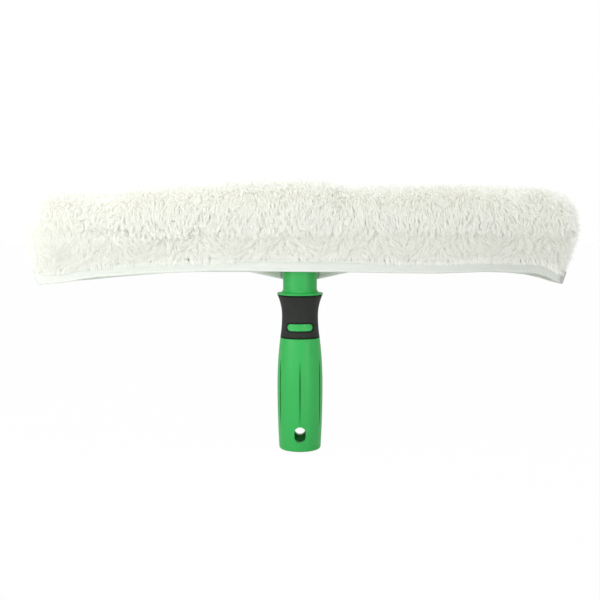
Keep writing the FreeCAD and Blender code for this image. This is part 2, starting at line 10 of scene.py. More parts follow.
import bpy
import numpy as np
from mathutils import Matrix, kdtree

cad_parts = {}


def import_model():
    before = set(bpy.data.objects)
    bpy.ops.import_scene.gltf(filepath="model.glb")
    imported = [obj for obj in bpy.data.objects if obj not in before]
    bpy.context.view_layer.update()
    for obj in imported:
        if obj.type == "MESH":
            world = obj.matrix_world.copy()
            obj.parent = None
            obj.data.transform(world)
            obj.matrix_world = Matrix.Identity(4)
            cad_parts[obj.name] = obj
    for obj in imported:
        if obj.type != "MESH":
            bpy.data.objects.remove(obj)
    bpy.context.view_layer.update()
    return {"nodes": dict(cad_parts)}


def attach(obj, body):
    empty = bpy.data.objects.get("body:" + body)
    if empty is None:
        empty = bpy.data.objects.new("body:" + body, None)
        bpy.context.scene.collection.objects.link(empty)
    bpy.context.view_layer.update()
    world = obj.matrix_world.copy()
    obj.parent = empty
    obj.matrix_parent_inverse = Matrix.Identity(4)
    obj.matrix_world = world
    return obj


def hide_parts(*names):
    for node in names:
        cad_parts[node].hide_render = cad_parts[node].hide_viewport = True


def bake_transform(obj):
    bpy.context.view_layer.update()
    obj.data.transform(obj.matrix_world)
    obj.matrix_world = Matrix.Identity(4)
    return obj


LOG = logging.getLogger("window_washer")

# Lengths are in millimetres until a mesh is made, and the model is in metres
METRES_PER_MM = 0.001
# Keeps a vector of no length from being divided by nought
LEAST_LENGTH = 1e-9

Array = np.ndarray
# A low and a high value, and a line of places with the value at each
Span = tuple[float, float]
Stations = tuple[Span, ...]


class Body(str, Enum):
    """Bodies that new pieces ride on."""

    SLEEVE = "sleeve"
    LEFT_FLAP = "left_flap"
    RIGHT_FLAP = "right_flap"


class Side(Enum):
    """The two ends of the sleeve, by the sign of X."""

    LEFT = -1
    RIGHT = 1

    @property
    def label(self) -> str:
        """The side's name in piece names."""
        return self.name.lower()

    @property
    def flap_body(self) -> Body:
        """The body of the closure flap on this side."""
        return Body.LEFT_FLAP if self is Side.LEFT else Body.RIGHT_FLAP


# Shader helpers


def linear(colour: str) -> tuple[float, float, float, float]:
    """Turns an sRGB hex colour to linear light.

    Args:
        colour: six hex digits after a hash sign.

    Returns:
        Red, green, blue and an alpha of one.
    """
    channels = [int(colour[place:place + 2], 16) / 255 for place in (1, 3, 5)]
    red, green, blue = (c / 12.92 if c <= 0.04045 else ((c + 0.055) / 1.055) ** 2.4 for c in channels)
    return red, green, blue, 1.0


def add_node(tree: Any, kind: str, settings: dict | None = None, links: dict | None = None) -> Any:
    """Adds one shader node.

    Args:
        tree: the node tree that gets it.
        kind: the node's type.
        settings: values by property name, or by input name or number.
        links: sockets that feed its inputs, by input name or number.

    Returns:
        The new node.
    """
    node = tree.nodes.new(kind)
    for name, setting in (settings or {}).items():
        if isinstance(name, str) and hasattr(node, name):
            setattr(node, name, setting)
        else:
            node.inputs[name].default_value = setting
    for name, socket in (links or {}).items():
        tree.links.new(socket, node.inputs[name])
    return node


def per_metre(size_mm: float) -> float:
    """Noise scale whose features are about one size across."""
    return 1.0 / (size_mm * METRES_PER_MM)


def wave_scale(spacing_mm: float) -> float:
    """Wave scale whose bands repeat at one spacing; at a scale of one, a band takes a tenth of pi."""
    return math.pi / 10 / (spacing_mm * METRES_PER_MM)


@dataclass(frozen=True, kw_only=True)
class Finish:
    """A material, named for what it is and how its surface was made."""

    name: str
    slot: str
    colour: str
    shade: str
    roughness: float
    ior: float = 1.5
    patch_detail: float = 3.0

    def material(self) -> Any:
        """Makes the material once and gives it back afterwards.

        Returns:
            The Blender material.
        """
        made = bpy.data.materials.get(self.name)
        if made is None:
            made = bpy.data.materials.new(self.name)
            made.use_nodes = True
            made.node_tree.nodes.clear()
            shader = add_node(made.node_tree, "ShaderNodeBsdfPrincipled", {
                "Roughness": self.roughness,
                "IOR": self.ior,
                "Base Color": linear(self.colour),
            })
            self.dress(made.node_tree, shader)
            surface = self.through(made.node_tree, shader)
            add_node(made.node_tree, "ShaderNodeOutputMaterial", links={"Surface": surface})
        return made

    def dress(self, tree: Any, shader: Any) -> None:
        """Adds this finish's patterns.

        Args:
            tree: the material's nodes.
            shader: its surface shader.
        """
        raise NotImplementedError

    def through(self, tree: Any, shader: Any) -> Any:
        """The finished surface, which lets no light through unless a finish says so."""
        return shader.outputs[0]

    def put_on(self, piece: Any) -> None:
        """Gives a piece this finish.

        Args:
            piece: the object that wears it.
        """
        piece.data.materials.clear()
        piece.data.materials.append(self.material())

    def mottled(self, tree: Any, place: Any, size_mm: float) -> Any:
        """Blends the finish's two colours in soft patches.

        Args:
            tree: the material's nodes.
            place: the socket with the place on the piece.
            size_mm: how far apart the patches are.

        Returns:
            The blended colour's socket.
        """
        patches = add_node(tree, "ShaderNodeTexNoise", {
            "Scale": per_metre(size_mm),
            "Detail": self.patch_detail,
        }, {"Vector": place})
        blend = add_node(tree, "ShaderNodeMix", {
            "data_type": "RGBA",
            6: linear(self.colour),
            7: linear(self.shade),
        }, {0: patches.outputs[0]})
        return blend.outputs[2]


@dataclass(frozen=True, kw_only=True)
class MouldedFinish(Finish):
    """Plastic or rubber from a spark-eroded mould: a fine even grain that spreads the highlight."""

    grain_mm: float
    grain_depth_mm: float
    grain_detail: float = 2.0
    patch_mm: float
    # Rubbed spots are a quarter as far apart as the patches of colour
    rubbed_share: float = 0.25
    rubbed_detail: float = 4.0
    polish: float
    shine: float
    # The colour of the painted shade in crevices and grooves, where the open air round the surface is least
    crevice: str
    crevice_mm: float
    # How much open air counts as the bottom of a crevice, and how much as none
    crevice_shut: float = 0.55
    crevice_open: float = 0.9
    crevice_samples: int = 12

    def dress(self, tree: Any, shader: Any) -> None:
        """Adds faint colour patches, painted shade in crevices, uneven gloss and the mould's grain.

        Args:
            tree: the material's nodes.
            shader: its surface shader.
        """
        shader.inputs["Specular IOR Level"].default_value = self.shine
        place = add_node(tree, "ShaderNodeTexCoord").outputs["Object"]
        # Painted shade: the colour darkens where ambient occlusion finds the surface sunk in a crevice or
        # groove
        open_air = add_node(tree, "ShaderNodeAmbientOcclusion", {
            "samples": self.crevice_samples,
            "Distance": self.crevice_mm * METRES_PER_MM,
        })
        depth = add_node(tree, "ShaderNodeMapRange", {
            "From Min": self.crevice_shut,
            "From Max": self.crevice_open,
        }, {"Value": open_air.outputs["AO"]})
        crevice_shaded = add_node(tree, "ShaderNodeMix", {"data_type": "RGBA", 6: linear(self.crevice)}, {
            0: self.clear(tree, place, depth.outputs[0]),
            7: self.mottled(tree, place, self.patch_mm),
        })
        tree.links.new(crevice_shaded.outputs[2], shader.inputs["Base Color"])
        rubbed = add_node(tree, "ShaderNodeTexNoise", {
            "Scale": per_metre(self.patch_mm * self.rubbed_share),
            "Detail": self.rubbed_detail,
        }, {"Vector": place})
        gloss = add_node(tree, "ShaderNodeMapRange", {
            "To Min": self.roughness - self.polish,
            "To Max": self.roughness + self.polish,
        }, {"Value": rubbed.outputs[0]})
        tree.links.new(gloss.outputs[0], shader.inputs["Roughness"])
        grain = add_node(tree, "ShaderNodeTexNoise", {
            "Scale": per_metre(self.grain_mm),
            "Detail": self.grain_detail,
        }, {"Vector": place})
        relief = add_node(tree, "ShaderNodeBump", {
            "Strength": 1.0,
            "Distance": self.grain_depth_mm * METRES_PER_MM,
        }, {"Height": grain.outputs[0]})
        tree.links.new(relief.outputs[0], shader.inputs["Normal"])

    def clear(self, tree: Any, place: Any, depth: Any) -> Any:
        """Nought where the surface is sunk and dark, one in the open."""
        return depth


@dataclass(frozen=True, kw_only=True)
class OvermouldedRubber(MouldedFinish):
    """Rubber moulded over plastic: a fine line at its ends and round its window is painted dark, as the shade
    of a sunk gap.
    """

    middle_mm: float
    half_length_mm: float
    window_mm: float
    window_half_width_mm: float
    window_half_height_mm: float
    line_mm: float
    # The share of the line that is dark right across, before it fades
    line_core: float = 0.7

    def clear(self, tree: Any, place: Any, depth: Any) -> Any:
        """Adds the painted shade of the sunk lines to that of the crevices.

        Args:
            tree: the material's nodes.
            place: the socket with the place on the piece.
            depth: the socket that is nought in a crevice.

        Returns:
            The socket that is nought in a crevice or a sunk line.
        """
        straight = (self.window_half_width_mm - self.window_half_height_mm) * METRES_PER_MM
        core_mm = self.line_core * self.line_mm
        axes = add_node(tree, "ShaderNodeSeparateXYZ", links={0: place})
        beside = add_node(tree, "ShaderNodeClamp", {"Min": -straight, "Max": straight}, {0: axes.outputs[0]})
        # The window is in front only, so places at the back count as far from it
        before = add_node(tree, "ShaderNodeMath", {"operation": "MINIMUM", 1: 0.0}, {0: axes.outputs[1]})
        nearest = add_node(tree, "ShaderNodeCombineXYZ", {"Z": self.window_mm * METRES_PER_MM}, {
            "X": beside.outputs[0],
            "Y": before.outputs[0],
        })
        away = add_node(tree, "ShaderNodeVectorMath", {"operation": "DISTANCE"}, {
            0: place,
            1: nearest.outputs[0],
        })
        rim = add_node(tree, "ShaderNodeMapRange", {
            "From Min": (self.window_half_height_mm + core_mm) * METRES_PER_MM,
            "From Max": (self.window_half_height_mm + self.line_mm) * METRES_PER_MM,
        }, {"Value": away.outputs["Value"]})
        rise = add_node(tree, "ShaderNodeMath", {
            "operation": "SUBTRACT",
            1: self.middle_mm * METRES_PER_MM,
        }, {0: axes.outputs[2]})
        off_middle = add_node(tree, "ShaderNodeMath", {"operation": "ABSOLUTE"}, {0: rise.outputs[0]})
        ends = add_node(tree, "ShaderNodeMapRange", {
            "From Min": (self.half_length_mm - core_mm) * METRES_PER_MM,
            "From Max": (self.half_length_mm - self.line_mm) * METRES_PER_MM,
        }, {"Value": off_middle.outputs[0]})
        # Both lines are painted shade, dark where the rubber would sink into a gap
        lines = add_node(tree, "ShaderNodeMath", {"operation": "MULTIPLY"}, {
            0: rim.outputs[0],
            1: ends.outputs[0],
        })
        both = add_node(tree, "ShaderNodeMath", {"operation": "MULTIPLY"}, {0: lines.outputs[0], 1: depth})
        return both.outputs[0]


@dataclass(frozen=True, kw_only=True)
class PlatedSteel(Finish):
    """Turned steel under bright zinc: a cool sheen, drawn out round the turning marks."""

    mark_mm: float
    mark_wander: float = 1.5
    cloud_mm: float = 6.0
    brighter: float = 0.06
    duller: float = 0.1

    def dress(self, tree: Any, shader: Any) -> None:
        """Adds turning marks and cloudy zinc.

        Args:
            tree: the material's nodes.
            shader: its surface shader.
        """
        shader.inputs["Metallic"].default_value = 1.0
        place = add_node(tree, "ShaderNodeTexCoord").outputs["Object"]
        tree.links.new(self.mottled(tree, place, self.cloud_mm), shader.inputs["Base Color"])
        marks = add_node(tree, "ShaderNodeTexWave", {
            "bands_direction": "Z",
            "Scale": wave_scale(self.mark_mm),
            "Distortion": self.mark_wander,
        }, {"Vector": place})
        gloss = add_node(tree, "ShaderNodeMapRange", {
            "To Min": self.roughness - self.brighter,
            "To Max": self.roughness + self.duller,
        }, {"Value": marks.outputs[1]})
        tree.links.new(gloss.outputs[0], shader.inputs["Roughness"])


@dataclass(frozen=True, kw_only=True)
class PlushFibre(Finish):
    """Acrylic pile yarn, cut and brushed: clear fibres that pass light on, so that even its depths glow."""

    tints: int
    tint_depth: float
    clear_tip: str
    clear_root: str
    clearness: float
    sheen: float = 0.25
    sheen_roughness: float = 0.5
    # How far up a strand the root's painted shade reaches
    root_share: float = 0.6

    def dress(self, tree: Any, shader: Any) -> None:
        """Paints shade at each strand's root, fading towards its tip, and darkens it by how far over its
        column lies.

        Args:
            tree: the material's nodes.
            shader: its surface shader.
        """
        shader.inputs["Sheen Weight"].default_value = self.sheen
        shader.inputs["Sheen Roughness"].default_value = self.sheen_roughness
        column, rise = self.strand(tree)
        # Painted shade: the yarn is a little darker at its root, deep in the pile, than at its tip
        yarn = add_node(tree, "ShaderNodeMix", {
            "data_type": "RGBA",
            6: linear(self.shade),
            7: linear(self.colour),
        }, {0: rise})
        dim = add_node(tree, "ShaderNodeMapRange", {"To Min": 1.0, "To Max": 1.0 - self.tint_depth}, {
            "Value": column,
        })
        tinted = add_node(tree, "ShaderNodeMix", {"data_type": "RGBA", "blend_type": "MULTIPLY", 0: 1.0}, {
            6: yarn.outputs[2],
            7: dim.outputs[0],
        })
        tree.links.new(tinted.outputs[2], shader.inputs["Base Color"])

    def strand(self, tree: Any) -> tuple[Any, Any]:
        """Reads the map of the strands.

        Args:
            tree: the material's nodes.

        Returns:
            A socket with the place of the strand's column, and one that rises from its root to its tip.
        """
        spot = add_node(tree, "ShaderNodeUVMap", {"uv_map": STRAND_MAP})
        along = add_node(tree, "ShaderNodeSeparateXYZ", links={0: spot.outputs[0]})
        rise = add_node(tree, "ShaderNodeMapRange", {
            "interpolation_type": "SMOOTHSTEP",
            "From Max": self.root_share,
        }, {"Value": along.outputs[1]})
        return along.outputs[0], rise.outputs[0]

    def through(self, tree: Any, shader: Any) -> Any:
        """Lets part of the light through the fibres.

        Args:
            tree: the material's nodes.
            shader: its surface shader.

        Returns:
            The socket of the surface with the light that passes through it.
        """
        _, rise = self.strand(tree)
        # Painted shade: the light let through is a little less at the root than at the tip
        clear = add_node(tree, "ShaderNodeMix", {
            "data_type": "RGBA",
            6: linear(self.clear_root),
            7: linear(self.clear_tip),
        }, {0: rise})
        passed = add_node(tree, "ShaderNodeBsdfTranslucent", links={"Color": clear.outputs[2]})
        mixed = add_node(tree, "ShaderNodeMixShader", {0: self.clearness}, {
            1: shader.outputs[0],
            2: passed.outputs[0],
        })
        return mixed.outputs[0]


@dataclass(frozen=True, kw_only=True)
class WovenFinish(Finish):
    """Woven cloth or tape: crossing threads that catch the light as a fine grid."""

    warp_mm: float
    weft_mm: float
    warp_wander: float = 0.4
    weft_wander: float = 0.6
    thread_detail: float = 1.0
    relief_mm: float
    relief: float = 0.8
    sheen: float = 0.15
    dye_mm: float = 9.0
    # How dark the painted shade in the hollows between the threads is
    hollow: float = 0.7

    def dress(self, tree: Any, shader: Any) -> None:
        """Adds the threads as relief and as painted shade in their hollows, with uneven dye.

        Args:
            tree: the material's nodes.
            shader: its surface shader.
        """
        shader.inputs["Sheen Weight"].default_value = self.sheen
        place = add_node(tree, "ShaderNodeTexCoord").outputs["Object"]
        weft, warp = (
            add_node(tree, "ShaderNodeTexWave", {
                "bands_direction": direction,
                "Scale": wave_scale(spacing_mm),
                "Distortion": wander,
                "Detail": self.thread_detail,
            }, {"Vector": place})
            for direction, spacing_mm, wander in (
                ("X", self.weft_mm, self.weft_wander),
                ("Z", self.warp_mm, self.warp_wander),
            )
        )
        crossing = add_node(tree, "ShaderNodeMath", {"operation": "MULTIPLY"}, {
            0: weft.outputs[1],
            1: warp.outputs[1],
        })
        hollow = add_node(tree, "ShaderNodeMapRange", {"To Min": self.hollow, "To Max": 0.0}, {
            "Value": crossing.outputs[0],
        })
        threads = add_node(tree, "ShaderNodeMix", {"data_type": "RGBA", 7: linear(self.shade)}, {
            0: hollow.outputs[0],
            6: self.mottled(tree, place, self.dye_mm),
        })
        tree.links.new(threads.outputs[2], shader.inputs["Base Color"])
        relief = add_node(tree, "ShaderNodeBump", {
            "Strength": self.relief,
            "Distance": self.relief_mm * METRES_PER_MM,
        }, {"Height": crossing.outputs[0]})
        tree.links.new(relief.outputs[0], shader.inputs["Normal"])


@dataclass(frozen=True, kw_only=True)
class TwistedThread(Finish):
    """Twisted polyester sewing thread: small bright dashes with the twist across them."""

    twist_mm: float

    def dress(self, tree: Any, shader: Any) -> None:
        """Adds the twist as shade.

        Args:
            tree: the material's nodes.
            shader: its surface shader.
        """
        place = add_node(tree, "ShaderNodeTexCoord").outputs["Object"]
        twist = add_node(tree, "ShaderNodeTexWave", {
            "bands_direction": "DIAGONAL",
            "Scale": wave_scale(self.twist_mm),
        }, {"Vector": place})
        plies = add_node(tree, "ShaderNodeMix", {
            "data_type": "RGBA",
            6: linear(self.shade),
            7: linear(self.colour),
        }, {0: twist.outputs[1]})
        tree.links.new(plies.outputs[2], shader.inputs["Base Color"])


# The maps that strands carry, both alike: one that their shade reads, and a second copy named for baking
STRAND_MAP = "strand"
BAKE_MAP = "OFBake"

# A clear bright green with a soft satin gleam, darker in its grooves with painted shade
GREEN_PLASTIC = MouldedFinish(
    name="green_polypropylene_moulded",
    slot="green_plastic",
    colour="#2FB253",
    shade="#2AA84C",
    roughness=0.46,
    ior=1.49,
    # A spark grain of 0.1 mm is too fine to show, so it is drawn at 0.5 mm
    grain_mm=0.5,
    grain_depth_mm=0.02,
    patch_mm=24.0,
    polish=0.07,
    shine=0.4,
    crevice="#0A6E28",
    crevice_mm=1.6,
)
# Near black and dull, with a broad faint sheen, painted shade in its crevices, and a thin line of painted
# shade where it meets the plastic
BLACK_RUBBER = OvermouldedRubber(
    name="black_rubber_moulded",
    slot="black_rubber",
    colour="#2A2C29",
    shade="#242623",
    roughness=0.66,
    ior=1.52,
    # The mould's grain of 0.2 mm is drawn at 0.7 mm so that it shows
    grain_mm=0.7,
    grain_depth_mm=0.04,
    patch_mm=14.0,
    polish=0.08,
    shine=0.2,
    crevice="#04140A",
    crevice_mm=1.6,
    middle_mm=109.95,
    half_length_mm=17.45,
    window_mm=101.5,
    window_half_width_mm=10.65,
    window_half_height_mm=3.15,
    line_mm=1.3,
)
# A cool grey gleam, a little cloudy, with fine rings where the tool turned it
ZINC_STEEL = PlatedSteel(
    name="zinc_plated_steel_turned",
    slot="zinc_steel",
    colour="#C8CACB",
    shade="#B3B6B9",
    roughness=0.3,
    # Turning marks of 0.15 mm are drawn at 0.6 mm so that they show
    mark_mm=0.6,
)
# Ivory tufts that glow from inside, since light goes through many clear fibres before it leaves them, a
# little darker at their roots with painted shade
PILE_YARN = PlushFibre(
    name="acrylic_plush_brushed",
    slot="pile_cloth",
    colour="#FBFCFA",
    shade="#F3F4F1",
    roughness=0.7,
    tints=32,
    tint_depth=0.05,
    clear_tip="#FEFEFD",
    clear_root="#FCFCFB",
    clearness=0.85,
)
# A dull ivory mesh of stitches, seen only where the pile is drawn apart, a little darker than the yarn as
# painted shade in the gaps between the tufts
KNIT_GROUND = WovenFinish(
    name="pile_ground_knitted",
    slot="pile_cloth",
    colour="#ECECE6",
    shade="#E2E2DB",
    roughness=0.85,
    # The knit's stitches, at their real size
    warp_mm=1.6,
    weft_mm=1.6,
    relief_mm=0.3,
)
# A clean cool white with fine ribs, smoother and brighter than the pile
HEM_WEBBING = WovenFinish(
    name="polyester_tape_woven",
    slot="hem_webbing",
    colour="#EFF3EC",
    shade="#E4E8E0",
    roughness=0.62,
    # Threads of 0.4 mm are drawn at 1 mm so that the ribs show
    warp_mm=1.0,
    weft_mm=1.4,
    relief_mm=0.12,
)
# Short bright dashes with the plies' shade across them
HEM_THREAD = TwistedThread(
    name="polyester_thread_twisted",
    slot="hem_webbing",
    colour="#F5F7F2",
    shade="#D4DAD1",
    roughness=0.55,
    # Plies of 0.2 mm are drawn at 0.8 mm so that the twist shows
    twist_mm=0.8,
)
# Stiff white specks with small glints, over a plain weave
HOOK_NYLON = WovenFinish(
    name="hook_tape_nylon_woven",
    slot="hook_tape",
    colour="#FAFBF7",
    shade="#DCE1D7",
    roughness=0.5,
    ior=1.53,
    # Threads of 0.5 mm are drawn at 1.2 mm so that the backing shows its weave
    warp_mm=1.2,
    weft_mm=1.2,
    relief_mm=0.2,
)
# A dull fuzzy grey-white without any glint
LOOP_NYLON = WovenFinish(
    name="loop_tape_nylon_brushed",
    slot="loop_tape",
    colour="#ECEEE6",
    shade="#D2D6CC",
    roughness=0.8,
    ior=1.53,
    # Threads of 0.4 mm are drawn at 0.9 mm so that they show under the loops
    warp_mm=0.9,
    weft_mm=0.9,
    relief_mm=0.15,
)
# A thin pale cloth with a soft even surface
LINING_CLOTH = WovenFinish(
    name="polyester_lining_woven",
    slot="pile_cloth",
    colour="#EDEFE7",
    shade="#DDE0D6",
    roughness=0.75,
    # Threads of 0.3 mm are drawn at 1 mm so that the weave shows
    warp_mm=1.0,
    weft_mm=1.0,
    relief_mm=0.1,
)


# Mesh helpers


def make_piece(name: str, corners: Array, loops: Array, sizes: Array) -> Any:
    """Makes a smooth-shaded mesh piece.

    Args:
        name: the piece's name.
        corners: vertex places in millimetres, one row each.
        loops: vertex numbers of all faces, one after another.
        sizes: how many corners each face has.

    Returns:
        The new object, linked to the scene.
    """
    mesh = bpy.data.meshes.new(name)
    mesh.vertices.add(len(corners))
    mesh.vertices.foreach_set("co", (corners * METRES_PER_MM).astype(np.float32).ravel())
    mesh.loops.add(len(loops))
    mesh.loops.foreach_set("vertex_index", loops.astype(np.int32))
    starts = np.concatenate(([0], np.cumsum(sizes)[:-1]))
    mesh.polygons.add(len(sizes))
    mesh.polygons.foreach_set("loop_start", starts.astype(np.int32))
    mesh.polygons.foreach_set("use_smooth", np.ones(len(sizes), bool))
    mesh.update(calc_edges=True)
    mesh.validate()
    piece = bpy.data.objects.new(name, mesh)
    bpy.context.scene.collection.objects.link(piece)
    return piece


def grid_piece(name: str, places: Array, ring: bool, capped: bool) -> Any:
    """Makes a piece from rows of places.

    Args:
        name: the piece's name.
        places: millimetres, by row, then by place along the row, then by axis.
        ring: whether each row closes on itself.
        capped: whether the first and last rows are filled.

    Returns:
        The new object.
    """
    rows, across, _ = places.shape
    steps = across if ring else across - 1
    near = np.arange(steps)
    far = (near + 1) % across
    row = np.arange(rows - 1)[:, None] * across
    quads = np.stack((row + near, row + far, row + across + far, row + across + near), axis=-1)
    loops = quads.reshape(-1)
    sizes = np.full(len(loops) // 4, 4)
    if capped:
        first = np.arange(across)[::-1]
        last = np.arange(across) + (rows - 1) * across
        loops = np.concatenate((loops, first, last))
        sizes = np.concatenate((sizes, [across, across]))
    return make_piece(name, places.reshape(-1, 3), loops, sizes)


def settle(piece: Any, finish: Finish, body: Body) -> None:
    """Gives a piece its finish and its body, and reports it.

    Args:
        piece: the object.
        finish: what it is made of.
        body: what it moves with.
    """
    finish.put_on(piece)
    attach(piece, body.value)
    LOG.info("%s: %s on %s", piece.name, finish.name, body.value)


def unit(vectors: Array) -> Array:
    """Scales vectors to a length of one."""
    return vectors / np.maximum(np.linalg.norm(vectors, axis=-1, keepdims=True), LEAST_LENGTH)


# Turns a strand's rings aside where it is straight and its bend gives them no direction
RING_NUDGE = np.array([0.31, 0.17, 0.23])


@dataclass
class Strands:
    """Curved tapering strands, each from a root over a bend to a tip, in millimetres."""

    roots: Array
    bends: Array
    tips: Array
    radii: Array
    columns: Array
    sides: int = 3
    # Rings from root to tip: how far along they are, and their share of the radius
    rings: Stations = ((0.0, 1.0), (0.42, 0.9), (0.78, 0.6))
    # Where a strand lies in its column of the strand map
    map_root: float = 0.04
    map_rise: float = 0.92
    map_tip: float = 0.97
    map_cap: float = 0.03
    map_left: float = 0.1
    map_width: float = 0.8

    def chosen(self, which: Array) -> "Strands":
        """Some of the strands."""
        lists = (self.roots, self.bends, self.tips, self.radii, self.columns)
        return Strands(*(values[which] for values in lists))

    def piece(self, name: str, tints: int) -> Any:
        """Makes all strands one mesh, with a map of its columns.

        Args:
            name: the piece's name.
            tints: how many columns the strand map has.

        Returns:
            The new object.
        """
        count = len(self.roots)
        curve = [self.along(share) for share, _ in self.rings]
        lengthwise = unit(self.tips - self.roots)
        across = unit(np.cross(lengthwise, unit(self.bends - self.roots) + RING_NUDGE))
        other = np.cross(lengthwise, across)
        rings = []
        for place, (_, taper) in zip(curve, self.rings):
            for side in range(self.sides):
                turn = 2 * math.pi * side / self.sides
                spoke = across * math.cos(turn) + other * math.sin(turn)
                rings.append(place + spoke * (self.radii * taper)[:, None])
        rings.append(self.tips)
        corners = np.stack(rings, axis=1)
        faces, sizes, spots = self.pattern()
        start = np.arange(count)[:, None] * corners.shape[1]
        loops = (start + faces[None, :]).reshape(-1)
        piece = make_piece(name, corners.reshape(-1, 3), loops, np.tile(sizes, count))
        piece.data.shade_flat()
        spread = np.tile(spots, (count, 1))
        spread[:, 0] = (spread[:, 0] + np.repeat(self.columns, len(faces))) / tints
        for label in (STRAND_MAP, BAKE_MAP):
            layer = piece.data.uv_layers.new(name=label)
            layer.data.foreach_set("uv", spread.astype(np.float32).ravel())
        return piece

    def along(self, share: float) -> Array:
        """Places part of the way from root to tip."""
        return (1 - share) ** 2 * self.roots + 2 * share * (1 - share) * self.bends + share ** 2 * self.tips

    def pattern(self) -> tuple[Array, Array, Array]:
        """Faces of one strand.

        Returns:
            Corner numbers, corners per face, and each corner's place in its column.
        """
        faces = []
        sizes = []
        spots = []
        tip = len(self.rings) * self.sides
        heights = [self.map_root + self.map_rise * share for share, _ in self.rings] + [self.map_tip]
        widths = [self.map_left + self.map_width * side / self.sides for side in range(self.sides + 1)]
        for ring in range(len(self.rings)):
            for side in range(self.sides):
                beside = (side + 1) % self.sides
                low = ring * self.sides
                left, right = widths[side], widths[side + 1]
                faces += [low + side, low + beside]
                spots += [(left, heights[ring]), (right, heights[ring])]
                if ring + 1 < len(self.rings):
                    faces += [low + self.sides + beside, low + self.sides + side]
                    spots += [(right, heights[ring + 1]), (left, heights[ring + 1])]
                    sizes.append(4)
                else:
                    faces.append(tip)
                    spots.append(((left + right) / 2, heights[ring + 1]))
                    sizes.append(3)
        faces += list(range(self.sides))[::-1]
        spots += [(widths[side], 0.0 if side == 1 else self.map_cap) for side in range(self.sides)][::-1]
        sizes.append(self.sides)
        return np.array(faces), np.array(sizes), np.array(spots)


# The sleeve's form


def level(stations: Stations, along: Array) -> Array:
    """Reads a height off a line of stations."""
    places, heights = zip(*stations)
    return np.interp(along, places, heights)


def eased(values: Array, low: float, high: float) -> Array:
    """Rises smoothly from nought to one between two values."""
    share = np.clip((values - low) / (high - low), 0.0, 1.0)
    return share * share * (3 - 2 * share)


@dataclass
class SleeveForm:
    """Outer form of the sleeve, in millimetres: its crown, its hems and its rounded ends."""

    half_depth: float = 29.5
    foot_half_depth: float = 20.0
    end_start: float = 198.0
    end_reach: float = 229.5
    end_squareness: float = 2.8
    hem_height: float = 10.0
    # How far the closed ends reach at each height
    end_profile: Stations = (
        (144, 218), (150, 219), (156, 221), (168, 225.5), (178, 228), (186, 228.6), (200, 227), (207, 225),
        (213, 221), (219, 212),
    )
    # Heights along X of the crown and of the two hems' lower edges, as the photograph shows them in front
    crown: Stations = (
        (-230, 209), (-216, 212.5), (-166, 212.5), (-125, 216.5), (-83, 219), (-42, 221.5), (0, 222.5),
        (25, 222), (30, 217.8), (83, 218), (125, 219), (167, 217.5), (208, 216), (230, 210),
    )
    front_hem: Stations = (
        (-216, 136.6), (-209, 137.1), (-191, 138.7), (-180, 140.8), (-166, 142.8), (-149, 144),
        (-128, 145.4), (-107, 146.4), (-70, 148), (0, 147.3), (40, 147), (82, 146.2), (114, 146),
        (155, 147.4), (175, 146.6), (193, 145.8), (202, 143.1), (208, 139.8), (216, 136.6),
    )
    back_hem: Stations = (
        (-216, 136.2), (-198, 137.4), (-177, 139), (-155, 141.2), (-133, 143), (-112, 144.6), (-60, 146.6),
        (60, 146.6), (140, 146), (175, 145), (191, 143.4), (203, 140.6), (216, 136.4),
    )

    def places(self, along: Array, turn: Array) -> Array:
        """Places on the outer form.

        Args:
            along: X of each place.
            turn: from nought at the front hem over the crown to one at the back hem.

        Returns:
            One row of X, Y and Z for each place.
        """
        front = turn < 0.5
        climb = np.where(front, 2 * turn, 2 - 2 * turn)
        hem = np.where(front, level(self.front_hem, along), level(self.back_hem, along))
        foot = hem + self.hem_height
        waist = level(self.crown, along) - self.half_depth
        taper = self.half_depth - self.foot_half_depth
        flank = (taper ** 2 + (waist - foot) ** 2) / (2 * taper)
        sweep = np.arcsin(np.clip((waist - foot) / flank, -1.0, 1.0))
        share = flank * sweep / (flank * sweep + self.half_depth * math.pi / 2)
        low = sweep * (1 - np.minimum(climb / share, 1.0))
        high = math.pi / 2 * np.clip((climb - share) / (1 - share), 0.0, 1.0)
        on_flank = climb < share
        below = flank * np.cos(low) - flank + self.half_depth
        out = np.where(on_flank, below, self.half_depth * np.cos(high))
        height = np.where(on_flank, waist - flank * np.sin(low), waist + self.half_depth * np.sin(high))
        share = np.clip((np.abs(along) - self.end_start) / (self.end_reach - self.end_start), 0.0, 1.0)
        drawn_in = (1 - share ** self.end_squareness) ** (1 / self.end_squareness)
        across = np.where(front, -out, out) * drawn_in
        reach = self.end_start + (level(self.end_profile, height) - self.end_start) * share
        lengthwise = np.where(share > 0, np.sign(along) * reach, along)
        return np.stack((lengthwise, across, height), axis=-1)

    def grid(self, middle_steps: int, end_steps: int, turn_steps: int) -> tuple[Array, Array]:
        """Rows of places round the sleeve, closer together towards the ends.

        Args:
            middle_steps: rows along the straight part.
            end_steps: rows on each rounded end.
            turn_steps: places from hem to hem.

        Returns:
            The places and their outward directions.
        """
        share = np.linspace(0.0, 1.0, end_steps + 1)[1:]
        outer = self.end_start + (self.end_reach - self.end_start) * (1 - (1 - share) ** 2)
        straight = np.linspace(-self.end_start, self.end_start, middle_steps)
        rows = np.concatenate((-outer[::-1], straight, outer))
        turns = np.linspace(0.0, 1.0, turn_steps)
        along, turn = np.meshgrid(rows, turns, indexing="ij")
        places = self.places(along, turn)
        lengthwise = np.gradient(places, axis=0)
        round_about = np.gradient(places, axis=1)
        outward = unit(np.cross(lengthwise, round_about))
        outward[0] = (-1.0, 0.0, 0.0)
        outward[-1] = (1.0, 0.0, 0.0)
        return places, outward


